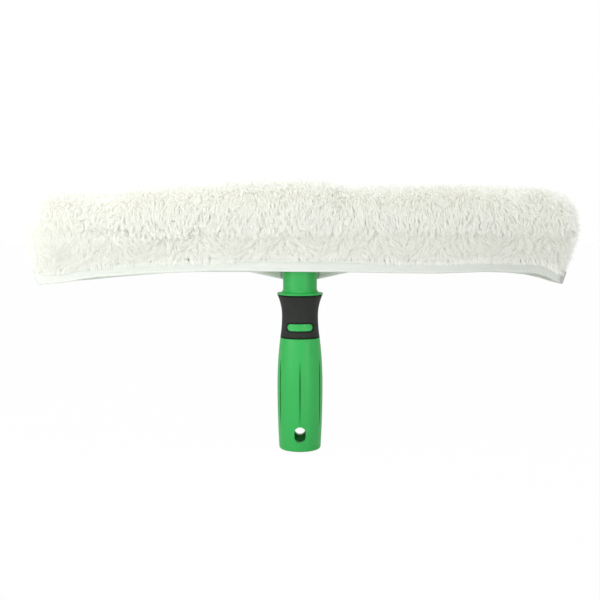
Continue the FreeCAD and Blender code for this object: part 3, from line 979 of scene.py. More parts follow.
@dataclass(frozen=True)
class Ripple:
    """A slow uneven wave over the sleeve, from about minus one to one."""

    # Length of the longest wave in millimetres
    reach: float
    seed: int
    octaves: tuple[float, ...] = (1.0, 1.7, 2.9, 4.3)
    slant: float = 0.7
    rise: float = 1.6
    fading: float = 0.6
    height: float = 2.2

    def at(self, along: Array, up: Array) -> Array:
        """Draws the wave.

        Args:
            along: X of each place.
            up: height of each place.

        Returns:
            The wave at each place.
        """
        chance = np.random.default_rng(self.seed)
        total = np.zeros_like(along, dtype=float)
        for octave in self.octaves:
            heading = chance.uniform(-self.slant, self.slant)
            start = chance.uniform(0, 2 * math.pi)
            run = along * math.cos(heading) + up * math.sin(heading) * self.rise
            total += np.sin(2 * math.pi * run * octave / self.reach + start) / octave ** self.fading
        return total / self.height


@dataclass(frozen=True)
class Band:
    """A soft band along the parting: its strength, its height over the parting and its width."""

    strength: float
    middle: float
    width: float

    def at(self, ledge: Array) -> Array:
        """One in the middle of the band, falling to nought on both sides."""
        return np.exp(-((ledge - self.middle) / self.width) ** 2)


@dataclass
class PileSleeve:
    """The pile: a knitted ground over the bar, with brushed strands on it, in millimetres."""

    form: SleeveForm
    fill: float = 0.8
    strand_count: int = 92000
    clump_count: int = 8000
    spans: int = 8
    seed: int = 41
    # The ground's rows along the straight part and on each end, and its places from hem to hem
    ground_steps: tuple[int, int, int] = (150, 14, 90)

    # How high the strands stand: lower beside the hems and below the parting
    pile_height: float = 3.8
    foot_pile: float = 1.5
    foot_rise: Span = (-1.0, 9.0)
    lower_share: float = 0.5
    end_facing: Span = (0.3, 0.8)
    probe: float = 3.0
    clump_lift: float = 0.09
    clump_lift_range: Span = (0.75, 1.25)
    loft_spread: Span = (0.86, 1.06)

    # How far the strands lie over, and how much shorter where the pile isn't brushed
    upper_reach: float = 7.0
    lower_reach: float = 6.5
    unbrushed_share: float = 0.4
    reach_spread: Span = (0.75, 1.15)
    brushed_forward: float = -14.0
    brushed_back: float = 30.0

    # Which way the clumps lie: swaying above the parting, tangled below it, steadier at the hems and ends
    sway: Ripple = Ripple(reach=95.0, seed=7)
    sway_share: float = 0.4
    sway_spread: float = 0.16
    tangle: Ripple = Ripple(reach=60.0, seed=11)
    tangle_share: float = 1.6
    tangle_spread: float = 0.32
    hem_steadied: float = 0.6
    hem_steady_height: float = 8.0
    end_span: Span = (198.0, 228.0)
    end_steadied: float = 0.6
    end_aside: float = 0.9
    lean_spread: float = 0.14

    # The parting: a brow of raised tufts over a furrow, and the strands beside it gathered to points
    parting_width: float = 3.0
    tuft_spread: float = 2.2
    brow: Band = Band(strength=0.45, middle=4.0, width=4.0)
    furrow: Band = Band(strength=-0.85, middle=-2.0, width=2.8)
    gathered: Band = Band(strength=0.9, middle=3.0, width=7.0)
    short_from: float = -2.5
    short_past: float = 0.5
    shortest: float = 1.0

    # Strands that stand up along the crown, and fuzz on the faces of the ends
    upright_facing: Span = (0.88, 0.99)
    upright_loft: float = 0.3
    upright_shorter: float = 0.8
    fuzz_facing: Span = (0.35, 0.85)
    fuzz_loft: Span = (-0.4, 0.8)
    fuzz_shorter: float = 0.5

    # Strands that hang over the hems
    back_fringe: float = 3.0
    fringe_spread: Span = (0.7, 1.15)
    hanging_span: Span = (1.0, 8.0)
    hanging_aside: float = 0.3
    hanging_out: float = 0.12

    # How the strands of a clump draw together
    tightness: float = 0.1
    upright_tightness: float = 0.25
    tightness_spread: float = 0.05
    tightest: float = 0.92

    # A strand's bend, as shares of its height and reach, and how thick it is
    bend_loft: float = 1.1
    bend_reach: float = 0.25
    strand_radius: float = 0.32
    matted_radius: float = 0.24
    radius_spread: Span = (0.8, 1.2)
    combed_span: Span = (150.0, 215.0)
    combed_facing: Span = (0.1, 0.6)

    # How far the strands hang over the front hem, and the height of the parting, along X
    front_fringe: Stations = (
        (-230, 3.5), (-140, 4.0), (-66, 5.2), (-36, 1.5), (25, 1.5), (50, 2.4), (80, 3.8), (230, 3.8),
    )
    parting: Stations = (
        (-230, 186), (-190, 186), (-164, 184), (-140, 180), (-116, 175), (-92, 178), (-76, 182), (-40, 180),
        (0, 181), (60, 183), (120, 184), (170, 182), (230, 182),
    )
    # Where the pile is drawn apart along the parting: nought is closed, one is open
    openings: Stations = (
        (-230, 0.1), (-186, 0.3), (-166, 0.9), (-142, 0.9), (-126, 0.4), (-112, 1.0), (-84, 1.0), (-70, 0.3),
        (-34, 0.15), (-22, 0.5), (-4, 0.3), (60, 0.15), (96, 0.35), (112, 0.1), (150, 0.3), (230, 0.1),
    )
    places: Array = field(init=False)
    outward: Array = field(init=False)

    def __post_init__(self) -> None:
        """Lays out the ground under the pile."""
        places, outward = self.form.grid(*self.ground_steps)
        self.places = places - outward * self.pile_depth(places)[..., None]
        self.outward = outward

    def pile_depth(self, places: Array) -> Array:
        """How far the ground lies under the outer form: least beside the hems."""
        rise = eased(self.above_foot(*np.moveaxis(places, -1, 0)), *self.foot_rise)
        return self.foot_pile + (self.pile_height - self.foot_pile) * rise

    def loft(self, roots: Array, outward: Array) -> Array:
        """How high strands stand off the ground: matted lower below the parting.

        Args:
            roots: where the strands grow.
            outward: their outward directions.

        Returns:
            A height for each strand.
        """
        along, _, up = roots.T
        full = np.maximum(self.above(along, up), eased(np.abs(outward[:, 0]), *self.end_facing))
        share = self.lower_share + (1.0 - self.lower_share) * full
        return self.pile_depth(roots + outward * self.probe) * share

    def build(self) -> None:
        """Makes the ground and the strands."""
        ground = grid_piece("pile_ground", self.places, ring=False, capped=False)
        settle(ground, KNIT_GROUND, Body.SLEEVE)
        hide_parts("pile_wrap", "left_end_pile", "right_end_pile")
        self.build_strands()

    def build_strands(self) -> None:
        """Grows the strands in clumps and makes one piece for each span of the sleeve."""
        strands, along = self.grow()
        edges = np.quantile(along, np.linspace(0, 1, self.spans + 1))
        for span in range(self.spans):
            part = strands.chosen((along >= edges[span]) & (along < edges[span + 1]))
            piece = part.piece(f"pile_strands_{span + 1}", PILE_YARN.tints)
            settle(piece, PILE_YARN, Body.SLEEVE)

    def scatter(self, count: int, chance: np.random.Generator) -> tuple[Array, Array]:
        """Picks places evenly over the ground.

        Args:
            count: how many places.
            chance: the source of randomness.

        Returns:
            The places and their outward directions.
        """
        edge_a = self.places[1:, :-1] - self.places[:-1, :-1]
        edge_b = self.places[:-1, 1:] - self.places[:-1, :-1]
        areas = np.linalg.norm(np.cross(edge_a, edge_b), axis=-1)
        total = np.cumsum(areas.ravel())
        steps = (np.arange(count) + chance.random(count)) / count * total[-1]
        cells = np.minimum(np.searchsorted(total, steps), areas.size - 1)
        row, column = np.unravel_index(cells, areas.shape)
        share_a = chance.random(count)[:, None]
        share_b = chance.random(count)[:, None]
        picked = []
        for values in (self.places, self.outward):
            low = values[row, column] * (1 - share_b) + values[row, column + 1] * share_b
            high = values[row + 1, column] * (1 - share_b) + values[row + 1, column + 1] * share_b
            picked.append(low * (1 - share_a) + high * share_a)
        return picked[0], unit(picked[1])

    def above(self, along: Array, up: Array) -> Array:
        """One above the parting, nought below it."""
        parting = level(self.parting, along)
        return eased(up, parting - self.parting_width, parting)

    def forward(self, across: Array) -> Array:
        """Which way the pile is brushed over the crown: minus one forwards, one backwards."""
        return 2.0 * eased(across, self.brushed_forward, self.brushed_back) - 1.0

    def lie(self, places: Array, outward: Array, chance: np.random.Generator) -> Array:
        """Which way the pile lies at each clump.

        Args:
            places: roots of the clumps.
            outward: their outward directions.
            chance: the source of randomness.

        Returns:
            A direction along the ground for each clump.
        """
        along, across, up = places.T
        count = len(places)
        above = self.above(along, up)
        swaying = self.sway_share * self.sway.at(along, up)
        swaying += chance.normal(0.0, self.sway_spread, count)
        tangled = self.tangle_share * self.tangle.at(along, up)
        tangled += chance.normal(0.0, self.tangle_spread, count)
        aside = swaying * above + tangled * (1 - above)
        near_hem = eased(-self.above_foot(along, across, up), -self.hem_steady_height, 0.0)
        aside *= 1.0 - self.hem_steadied * near_hem
        end = eased(np.abs(along), *self.end_span)
        aside = aside * (1 - self.end_steadied * end) + np.sign(along) * self.end_aside * end
        down = np.stack((aside, self.forward(across), np.full(count, -1.0)), axis=-1)
        flat = down - outward * np.sum(down * outward, axis=-1, keepdims=True)
        return unit(flat)

    def fringe(self, along: Array, across: Array) -> Array:
        """How far the pile hangs over the hem."""
        return np.where(across < 0, level(self.front_fringe, along), self.back_fringe)

    def above_foot(self, along: Array, across: Array, up: Array) -> Array:
        """Height over the pile's lower edge."""
        hem = np.where(across < 0, level(self.form.front_hem, along), level(self.form.back_hem, along))
        return up - hem - self.form.hem_height

    def nearest(self, heads: Array, roots: Array) -> Array:
        """Finds each strand's clump.

        Args:
            heads: where the clumps are.
            roots: where the strands grow.

        Returns:
            The number of the clump that is nearest to each root.
        """
        tree = kdtree.KDTree(len(heads))
        for number, head in enumerate(heads):
            tree.insert(head, number)
        tree.balance()
        return np.array([tree.find(root)[1] for root in roots])

    def grow(self) -> tuple[Strands, Array]:
        """Grows every strand from its root.

        Returns:
            The strands, and X of each root.
        """
        chance = np.random.default_rng(self.seed)
        count = self.strand_count
        roots, outward = self.scatter(count, chance)
        heads, head_outward = self.scatter(self.clump_count, chance)
        head_lie = self.lie(heads, head_outward, chance)
        head_lift = np.clip(chance.normal(1.0, self.clump_lift, self.clump_count), *self.clump_lift_range)
        clump = self.nearest(heads, roots)
        along, across, up = roots.T
        above = self.above(along, up)
        # How high each strand stands
        loft = self.loft(roots, outward) * head_lift[clump] * chance.uniform(*self.loft_spread, count)
        tuft = chance.normal(0.0, self.tuft_spread, self.clump_count)[clump]
        parted = level(self.openings, along)
        ledge = up - level(self.parting, along) + tuft
        for band in (self.brow, self.furrow):
            loft *= 1.0 + band.strength * parted * band.at(ledge)
        fuzzed = eased(np.abs(outward[:, 0]), *self.fuzz_facing)
        loft *= 1.0 + fuzzed * chance.uniform(*self.fuzz_loft, count)
        upright = eased(outward[:, 2], *self.upright_facing)
        loft *= 1.0 + self.upright_loft * upright
        # How far it reaches over
        reach = self.lower_reach + (self.upper_reach - self.lower_reach) * above
        reach *= 1.0 - self.fuzz_shorter * fuzzed
        brushed = self.unbrushed_share + (1.0 - self.unbrushed_share) * np.abs(self.forward(across))
        reach = reach * (1.0 - self.upright_shorter * upright) * brushed
        reach *= chance.uniform(*self.reach_spread, count)
        short = np.clip(ledge + self.short_past, self.shortest, None)
        shortened = reach + (np.minimum(reach, short) - reach) * parted
        reach = np.where(ledge > self.short_from, shortened, reach)
        drop = self.above_foot(along, across, up)
        raised = eased(drop, *self.hanging_span)
        hang = drop + self.fringe(along, across) * chance.uniform(*self.fringe_spread, count)
        reach = np.where(drop < self.hanging_span[1], hang + (reach - hang) * raised, reach)
        # Which way it leans, and how far it is drawn to its clump
        lean = unit(head_lie[clump] + chance.normal(0.0, self.lean_spread, (count, 3)))
        plumb = (self.hanging_aside * lean[:, 0], self.hanging_out * np.sign(across), np.full(count, -1.0))
        hanging = (1.0 - raised)[:, None]
        lean = unit(lean * (1.0 - hanging) + np.stack(plumb, axis=-1) * hanging)
        tips = roots + outward * loft[:, None] + lean * reach[:, None]
        peaks = heads + head_outward * (self.loft(heads, head_outward) * head_lift)[:, None]
        gather = peaks[clump] + lean * reach[:, None]
        beside = parted * self.gathered.at(ledge)
        drawn = self.tightness + (self.gathered.strength - self.tightness) * beside
        drawn += self.upright_tightness * upright
        drawn += chance.normal(0.0, self.tightness_spread, count)
        tight = np.clip(drawn, 0.0, self.tightest)[:, None]
        tips = tips * (1 - tight) + gather * tight
        bends = roots + outward * (loft * self.bend_loft)[:, None] + lean * (reach * self.bend_reach)[:, None]
        # How thick it is: thicker where it is combed into tufts
        combed = np.maximum(above * (1.0 - eased(np.abs(along), *self.combed_span)), beside)
        combed *= 1.0 - eased(outward[:, 2], *self.combed_facing)
        radii = self.matted_radius + (self.strand_radius - self.matted_radius) * combed
        radii *= chance.uniform(*self.radius_spread, count)
        columns = chance.integers(0, PILE_YARN.tints, count)
        return Strands(roots, bends, tips, radii, columns), along


# Sewn tapes, flaps and strips


@dataclass
class Tape:
    """A tape folded double along a path seen from above, with rows of stitches on its outer face."""

    name: str
    path: Array
    lower: Array
    height: float
    thick: float
    outer_side: int
    stitch_rows: tuple[float, ...]
    flare: float = 0.0
    stitch_pitch: float = 3.4
    stitch_length: float = 2.5
    stitch_radius: float = 0.26
    stitch_sides: int = 5
    stitch_rings: Stations = ((0.0, 0.7), (0.3, 1.0), (0.7, 1.0), (0.95, 0.7))
    # A stitch from end to end: how far along it is, and how many radii it stands off the face
    stitch_arch: Stations = ((0.0, -0.3), (0.5, 1.4), (1.0, -0.3))
    quilting: float = 0.45
    quilting_width: float = 0.7
    gap_share: float = 0.2
    # Places round the lower edge, up the face and down the slit between the layers
    edge_steps: int = 5
    face_steps: int = 16
    slit_steps: int = 8
    # The upper edge thins out over its last places
    brim_start: float = 0.6
    brim_height: float = 0.2
    brim_shares: Span = (0.9, 0.7)

    def normals(self) -> Array:
        """Directions that point out of the tape's outer face, seen from above."""
        heading = unit(np.gradient(self.path, axis=0))
        return self.outer_side * np.stack((heading[:, 1], -heading[:, 0]), axis=-1)

    def face(self, height: Array) -> Array:
        """How far the outer face stands out, drawn in along each row of stitches.

        Args:
            height: heights above the lower edge.

        Returns:
            The distance from the tape's middle at each height.
        """
        swell = np.zeros_like(height)
        for row in self.stitch_rows:
            swell -= self.quilting * np.exp(-((height - row) / self.quilting_width) ** 2)
        return self.thick / 2 + swell

    def section(self) -> tuple[Array, Array]:
        """Draws the tape's section: up the outer face, down and up the slit, and down the inner face.

        Returns:
            Distances outwards from the tape's middle, and heights above its lower edge.
        """
        round_off = self.thick / 2
        climb = np.concatenate((
            round_off * (1 - np.cos(np.linspace(0, math.pi / 2, self.edge_steps))),
            np.linspace(round_off, self.height - self.brim_start, self.face_steps)[1:],
            [self.height - self.brim_height, self.height],
        ))
        bulge = np.sqrt(np.clip(1 - ((round_off - climb) / round_off) ** 2, 0, 1))
        bulge = np.where(climb < round_off, bulge, 1.0)
        bulge[-len(self.brim_shares):] = self.brim_shares
        outer = self.face(climb) * bulge
        inner = -self.thick / 2 * bulge
        gap = self.thick * self.gap_share / 2
        slit = np.linspace(self.height, self.thick / 2 - gap, self.slit_steps)
        slit_half = np.full(self.slit_steps, gap)
        slit_half[-1] = 0.0
        out = np.concatenate((outer, slit_half, -slit_half[-2::-1], inner[:0:-1]))
        up = np.concatenate((climb, slit, slit[-2::-1], climb[:0:-1]))
        return out, up

    def build(self) -> list[Any]:
        """Makes the tape and its stitches.

        Returns:
            The tape and, where it has rows, its stitches.
        """
        out, up = self.section()
        normals = self.normals()
        flat = self.path[:, None, :] + normals[:, None, :] * out[None, :, None]
        flat[..., 0] += self.flare * normals[:, :1] * up[None, :] / self.height
        heights = self.lower[:, None] + up[None, :]
        places = np.concatenate((flat, heights[..., None]), axis=-1)
        made = [grid_piece(self.name, places, ring=True, capped=True)]
        settle(made[0], HEM_WEBBING, Body.SLEEVE)
        if self.stitch_rows:
            made.append(self.stitches(normals))
            settle(made[1], HEM_THREAD, Body.SLEEVE)
        return made

    def stitches(self, normals: Array) -> Any:
        """Makes the rows of stitches as one piece.

        Args:
            normals: outward directions along the path.

        Returns:
            The stitches.
        """
        run = np.concatenate(([0.0], np.cumsum(np.linalg.norm(np.diff(self.path, axis=0), axis=1))))
        starts = np.arange(self.stitch_pitch, run[-1] - self.stitch_pitch, self.stitch_pitch)
        tops = []
        for row in self.stitch_rows:
            out = float(self.face(np.array([row]))[0])
            spots = []
            for share, rise in self.stitch_arch:
                at = starts + share * self.stitch_length
                plan = np.stack([np.interp(at, run, self.path[:, axis]) for axis in (0, 1)], axis=-1)
                facing = np.stack([np.interp(at, run, normals[:, axis]) for axis in (0, 1)], axis=-1)
                proud = out + self.stitch_radius * rise
                height = np.interp(at, run, self.lower) + row
                spots.append(np.concatenate((plan + facing * proud, height[:, None]), axis=-1))
            tops.append(spots)
        roots, bends, tips = (np.concatenate(places) for places in zip(*tops))
        thread = Strands(
            roots,
            bends,
            tips,
            np.full(len(roots), self.stitch_radius),
            np.zeros(len(roots)),
            sides=self.stitch_sides,
            rings=self.stitch_rings,
        )
        return thread.piece(f"{self.name}_stitches", tints=1)


@dataclass
class Hems:
    """The tapes round the sleeve's mouth: one in front, one behind and a fold at each corner."""

    form: SleeveForm
    end: float = 213.4
    front_place: float = -16.2
    back_place: float = 15.7
    thick: float = 2.4
    height: float = 9.9
    stitch_rows: tuple[float, ...] = (2.4, 7.2)
    long_steps: int = 170
    wave: Ripple = Ripple(reach=130.0, seed=19)
    wave_depth: float = 0.25
    fold_reach: float = 216.2
    fold_corner: float = 6.0
    fold_flare: float = 3.5
    fold_inset: float = 0.4
    fold_lift: float = 0.2
    fold_thinner: float = 0.8
    corner_steps: int = 9
    across_steps: int = 10

    def build(self) -> None:
        """Makes the four tapes."""
        along = np.linspace(-self.end, self.end, self.long_steps)
        wave = self.wave_depth * self.wave.at(along, np.zeros_like(along))
        front = self.tape("front_hem", along, self.front_place + wave, self.form.front_hem, outer_side=1)
        back = self.tape("back_hem", along, self.back_place + wave, self.form.back_hem, outer_side=-1)
        for tape in (front, back):
            made = tape.build()
            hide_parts(f"{tape.name}_tape")
        for side in Side:
            self.fold(side)

    def tape(self, name: str, along: Array, across: Array, line: Stations, outer_side: int) -> Tape:
        """Lays a tape along one lower edge.

        Args:
            name: the piece's name.
            along: X of its places.
            across: Y of its places.
            line: height of the lower edge.
            outer_side: which way its outer face points.

        Returns:
            The tape, not yet made.
        """
        path = np.stack((along, across), axis=-1)
        lower = level(line, along)
        return Tape(name, path, lower, self.height, self.thick, outer_side, self.stitch_rows)

    def fold_path(self, side: Side) -> Array:
        """Draws the way round one corner, from the front tape to the back one.

        Args:
            side: which end of the sleeve.

        Returns:
            One row of X and Y for each place.
        """
        front = self.front_place + self.fold_inset
        back = self.back_place - self.fold_inset
        turn = np.linspace(0.0, math.pi / 2, self.corner_steps)
        reach = self.fold_reach - self.thick / 2
        nose = self.fold_corner
        across = np.linspace(front + nose, back - nose, self.across_steps)[1:-1]
        out = np.concatenate((
            reach - nose + nose * np.sin(turn),
            np.full(len(across), reach),
            reach - nose + nose * np.cos(turn),
        ))
        behind = np.concatenate((
            front + nose * (1 - np.cos(turn)),
            across,
            back - nose + nose * np.sin(turn),
        ))
        return np.stack((side.value * out, behind), axis=-1)

    def fold(self, side: Side) -> None:
        """Makes the fold that joins the two tapes at one end.

        Args:
            side: which end of the sleeve.
        """
        path = self.fold_path(side)
        behind = np.linspace(0.0, 1.0, len(path))
        lower = level(self.form.front_hem, path[:, 0]) * (1 - behind)
        lower += level(self.form.back_hem, path[:, 0]) * behind
        tape = Tape(
            name=f"{side.label}_fold",
            path=path,
            lower=lower + self.fold_lift,
            height=self.height,
            thick=self.thick * self.fold_thinner,
            outer_side=side.value,
            stitch_rows=(),
            flare=self.fold_flare,
        )
        made = tape.build()
        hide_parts(f"{side.label}_corner_fold")


# Places up each face of an upright slab, and its edges' rounding as a share of half its thickness
SLAB_STEPS = 12
SLAB_EDGE = 0.9
# Columns of the strand map for nylon hooks and loops
NYLON_TINTS = 8


def upright_slab(name: str, along: Array, low: Array, high: Array, faces: Span) -> Any:
    """Makes a soft-edged slab that hangs upright.

    Args:
        name: the piece's name.
        along: X of each row.
        low: the lower edge of each row.
        high: the upper edge of each row.
        faces: Y of the inner face and of the outer one.

    Returns:
        The slab.
    """
    near, far = faces
    middle = (near + far) / 2
    edge = (far - near) / 2 * SLAB_EDGE
    share = np.linspace(0.0, 1.0, SLAB_STEPS)
    inner = low[:, None] + edge + (high - low - 2 * edge)[:, None] * share[None, :]
    heights = np.concatenate((low[:, None], inner, high[:, None], inner[:, ::-1]), axis=1)
    depth = np.concatenate(([middle], np.full(SLAB_STEPS, near), [middle], np.full(SLAB_STEPS, far)))
    rows = np.stack((
        np.broadcast_to(along[:, None], heights.shape),
        np.broadcast_to(depth[None, :], heights.shape),
        heights,
    ), axis=-1)
    return grid_piece(name, rows, ring=True, capped=True)


@dataclass
class ClosureFlap:
    """A flap behind the bar on one side of the neck, with a strip of hooks on its inner face."""

    side: Side
    start: float = 14.4
    reach: float = 110.0
    bend: float = 43.0
    top: float = 165.4
    edge_length: float = 19.7
    tip_length: float = 26.0
    inner_face: float = 12.8
    thick: float = 1.4
    # How much of the flap bends at its sewn edge when the real flap swings
    hinge_length: float = 4.0
    long_steps: int = 60
    strip_thick: float = 0.4
    strip_margin: float = 1.2
    strip_height: float = 8.0
    hook_pitch: float = 1.9
    hook_radius: float = 0.32
    hook_height: float = 0.6
    # A hook's bend and tip stand off its root by shares of its height, and aside and up by millimetres
    hook_bend_share: float = 1.9
    hook_tip_share: float = 0.35
    hook_aside: float = 0.1
    hook_bend_up: float = 0.3
    hook_tip_down: float = 0.5
    hook_sunk: float = 0.1
    # How far the hooks keep from the strip's ends, its lower edge and its upper edge
    hook_end_margin: float = 0.8
    hook_low_margin: float = 0.7
    hook_high_margin: float = 0.6
    hook_seed: int = 5

    @property
    def hook_face(self) -> float:
        """Y of the strip's face, where the hooks stand."""
        return self.inner_face - self.strip_thick

    def lower_edge(self, along: Array) -> Array:
        """Height of the flap's lower edge, lowest beside the neck."""
        share = np.clip((along - self.start) / (self.bend - self.start), 0.0, 1.0)
        return self.top - self.tip_length + (self.tip_length - self.edge_length) * share

    def build(self) -> None:
        """Makes the flap, its strip and its hooks."""
        label = self.side.label
        body = self.side.flap_body
        along = np.linspace(self.start, self.reach, self.long_steps)
        high = np.full(self.long_steps, self.top)
        low = self.lower_edge(along)
        faces = (self.inner_face, self.inner_face + self.thick)
        flap = upright_slab(f"{label}_flap_cloth", self.side.value * along, low, high, faces)
        HEM_WEBBING.put_on(flap)
        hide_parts(f"{label}_closure_flap")
        LOG.info("%s: %s, sewn to %s", flap.name, HEM_WEBBING.name, Body.SLEEVE.value)
        within = np.linspace(self.start + self.strip_margin, self.reach - self.strip_margin, self.long_steps)
        base = self.lower_edge(within) + self.strip_margin
        strip_top = self.top - self.edge_length + self.strip_margin + self.strip_height
        top = np.full(self.long_steps, strip_top)
        faces = (self.hook_face, self.inner_face)
        strip = upright_slab(f"{label}_hook_base", self.side.value * within, base, top, faces)
        settle(strip, HOOK_NYLON, body)
        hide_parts(f"{label}_hook_strip")
        hooks = self.hooks(within, strip_top)
        settle(hooks, HOOK_NYLON, body)
        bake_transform(flap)

    def hooks(self, within: Array, top: float) -> Any:
        """Makes the strip's hooks as one piece.

        Args:
            within: distances from the middle along the strip.
            top: height of the strip's upper edge.

        Returns:
            The hooks.
        """
        spots = []
        first = within[0] + self.hook_end_margin
        last = within[-1] - self.hook_end_margin
        for row, along in enumerate(np.arange(first, last, self.hook_pitch)):
            low = float(self.lower_edge(np.array([along]))[0]) + self.strip_margin + self.hook_low_margin
            shift = self.hook_pitch / 2 * (row % 2)
            heights = np.arange(low + shift, top - self.hook_high_margin, self.hook_pitch)
            spots += [(along, height) for height in heights]
        plan = np.array(spots)
        count = len(plan)
        sunk = np.full(count, self.hook_face + self.hook_sunk)
        roots = np.stack((self.side.value * plan[:, 0], sunk, plan[:, 1]), axis=-1)
        to_bend = (self.hook_aside, -self.hook_height * self.hook_bend_share, self.hook_bend_up)
        to_tip = (self.hook_aside, -self.hook_height * self.hook_tip_share, -self.hook_tip_down)
        columns = np.random.default_rng(self.hook_seed).integers(0, NYLON_TINTS, count)
        stems = Strands(roots, roots + to_bend, roots + to_tip, np.full(count, self.hook_radius), columns)
        return stems.piece(f"{self.side.label}_hooks", NYLON_TINTS)


@dataclass
class LoopStrip:
    """A strip of brushed loops inside the front tape, which the hooks catch."""

    side: Side
    start: float = 16.1
    reach: float = 108.8
    base: float = 148.0
    height: float = 7.0
    back: float = -14.95
    thick: float = 0.45
    long_steps: int = 40
    loop_count: int = 2200
    loop_radius: float = 0.12
    loop_height: float = 0.5
    # A loop's bend and tip stand off its root by shares of its height, and stray aside by millimetres
    loop_bend_share: float = 1.8
    loop_tip_share: float = 0.1
    loop_stray: float = 0.5
    loop_tip_stray: float = 1.6
    loop_sunk: float = 0.05
    loop_end_margin: float = 0.5
    loop_edge_margin: float = 0.6
    loop_seed: int = 9

    def build(self) -> None:
        """Makes the strip and its loops."""
        label = self.side.label
        along = np.linspace(self.start, self.reach, self.long_steps)
        low = np.full(self.long_steps, self.base)
        faces = (self.back, self.back + self.thick)
        strip = upright_slab(f"{label}_loop_base", self.side.value * along, low, low + self.height, faces)
        settle(strip, LOOP_NYLON, Body.SLEEVE)
        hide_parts(f"{label}_loop_strip")
        settle(self.loops(), LOOP_NYLON, Body.SLEEVE)

    def loops(self) -> Any:
        """Makes the strip's loops as one piece.

        Returns:
            The loops.
        """
        chance = np.random.default_rng(self.loop_seed)
        count = self.loop_count
        first = self.start + self.loop_end_margin
        last = self.reach - self.loop_end_margin
        lowest = self.base + self.loop_edge_margin
        highest = self.base + self.height - self.loop_edge_margin
        roots = np.stack((
            self.side.value * chance.uniform(first, last, count),
            np.full(count, self.back + self.thick - self.loop_sunk),
            chance.uniform(lowest, highest, count),
        ), axis=-1)
        stray = chance.normal(0.0, self.loop_stray, (count, 3))
        stray[:, 1] = 0.0
        bends = roots + stray + np.array([0.0, self.loop_height * self.loop_bend_share, 0.0])
        to_tip = np.array([0.0, self.loop_height * self.loop_tip_share, 0.0])
        tips = roots + stray * self.loop_tip_stray + to_tip
        columns = chance.integers(0, NYLON_TINTS, count)
        fuzz = Strands(roots, bends, tips, np.full(count, self.loop_radius), columns)
        return fuzz.piece(f"{self.side.label}_loops", NYLON_TINTS)


@dataclass
class PocketLining:
    """The cloth inside the sleeve: a pocket for the bar, wider behind it for the flaps."""

    form: SleeveForm
    end: float = 213.5
    wall: float = 11.5
    back_wall: float = 14.5
    ceiling: float = 202.4
    step: float = 166.4
    neck_radius: float = 15.0
    foot_above_hem: float = 10.1
    foot_inset: float = 1.2
    long_steps: int = 90
    neck_steps: int = 25

    def build(self) -> None:
        """Makes the pocket's walls, ceiling and ends, and the cloth's lower edge."""
        along = np.unique(np.concatenate((
            np.linspace(-self.end, self.end, self.long_steps),
            np.linspace(-self.neck_radius, self.neck_radius, self.neck_steps),
        )))
        neck = np.sqrt(np.clip(self.neck_radius ** 2 - along ** 2, 0.0, None))
        front_foot = level(self.form.front_hem, along) + self.foot_above_hem
        back_foot = level(self.form.back_hem, along) + self.foot_above_hem
        front_wall = -np.maximum(self.wall, neck)
        back_wall = np.maximum(self.back_wall, neck)
        outer = self.form.foot_half_depth - self.foot_inset
        same = np.ones_like(along)
        across = np.stack((
            -outer * same, front_wall, front_wall, -self.wall * same, -self.wall * same,
            self.wall * same, self.wall * same, back_wall, back_wall, outer * same,
        ), axis=-1)
        up = np.stack((
            front_foot, front_foot, self.step * same, self.step * same, self.ceiling * same,
            self.ceiling * same, self.step * same, self.step * same, back_foot, back_foot,
        ), axis=-1)
        rows = np.stack((np.broadcast_to(along[:, None], up.shape), across, up), axis=-1)
        lining = grid_piece("pocket_lining", rows, ring=False, capped=True)
        lining.data.shade_flat()
        settle(lining, LINING_CLOTH, Body.SLEEVE)


# The T-bar and the studio


@dataclass
class TBar:
    """The moulded handle and bar, whose solids are right as they are and only get their finishes."""

    nodes: dict[str, Any]
    finishes: dict[str, Finish] = field(default_factory=lambda: {
        "grip_body": GREEN_PLASTIC,
        "badge_inlay": GREEN_PLASTIC,
        "neck_collar": GREEN_PLASTIC,
        "crossbar": GREEN_PLASTIC,
        "grip_rubber": BLACK_RUBBER,
        "cross_pin": ZINC_STEEL,
        "handle_screw": ZINC_STEEL,
        "screw_washer": ZINC_STEEL,
    })

    def dress(self) -> None:
        """Puts each finish on its node."""
        for name, finish in self.finishes.items():
            finish.put_on(self.nodes[name])
            LOG.info("%s: %s", name, finish.name)


@dataclass(frozen=True)
class Lamp:
    """A soft square lamp, with its sizes in millimetres, its output in watts and its spread in degrees."""

    name: str
    place: tuple[float, float, float]
    size: float
    power: float
    aim: tuple[float, float, float] = (0.0, 0.0, 150.0)
    spread: float = 180.0

    def hang(self, scene: Any) -> None:
        """Hangs the lamp and turns it to what it lights.

        Args:
            scene: the scene that gets it.
        """
        lamp = bpy.data.lights.new(self.name, "AREA")
        lamp.size = self.size * METRES_PER_MM
        lamp.energy = self.power
        lamp.spread = math.radians(self.spread)
        holder = bpy.data.objects.new(self.name, lamp)
        holder.location = [axis * METRES_PER_MM for axis in self.place]
        aim = np.array(self.aim) - np.array(self.place)
        bearing = math.atan2(aim[1], aim[0]) - math.pi / 2
        drop = math.acos(-aim[2] / float(np.linalg.norm(aim)))
        holder.rotation_euler = (drop, 0.0, bearing)
        scene.collection.objects.link(holder)


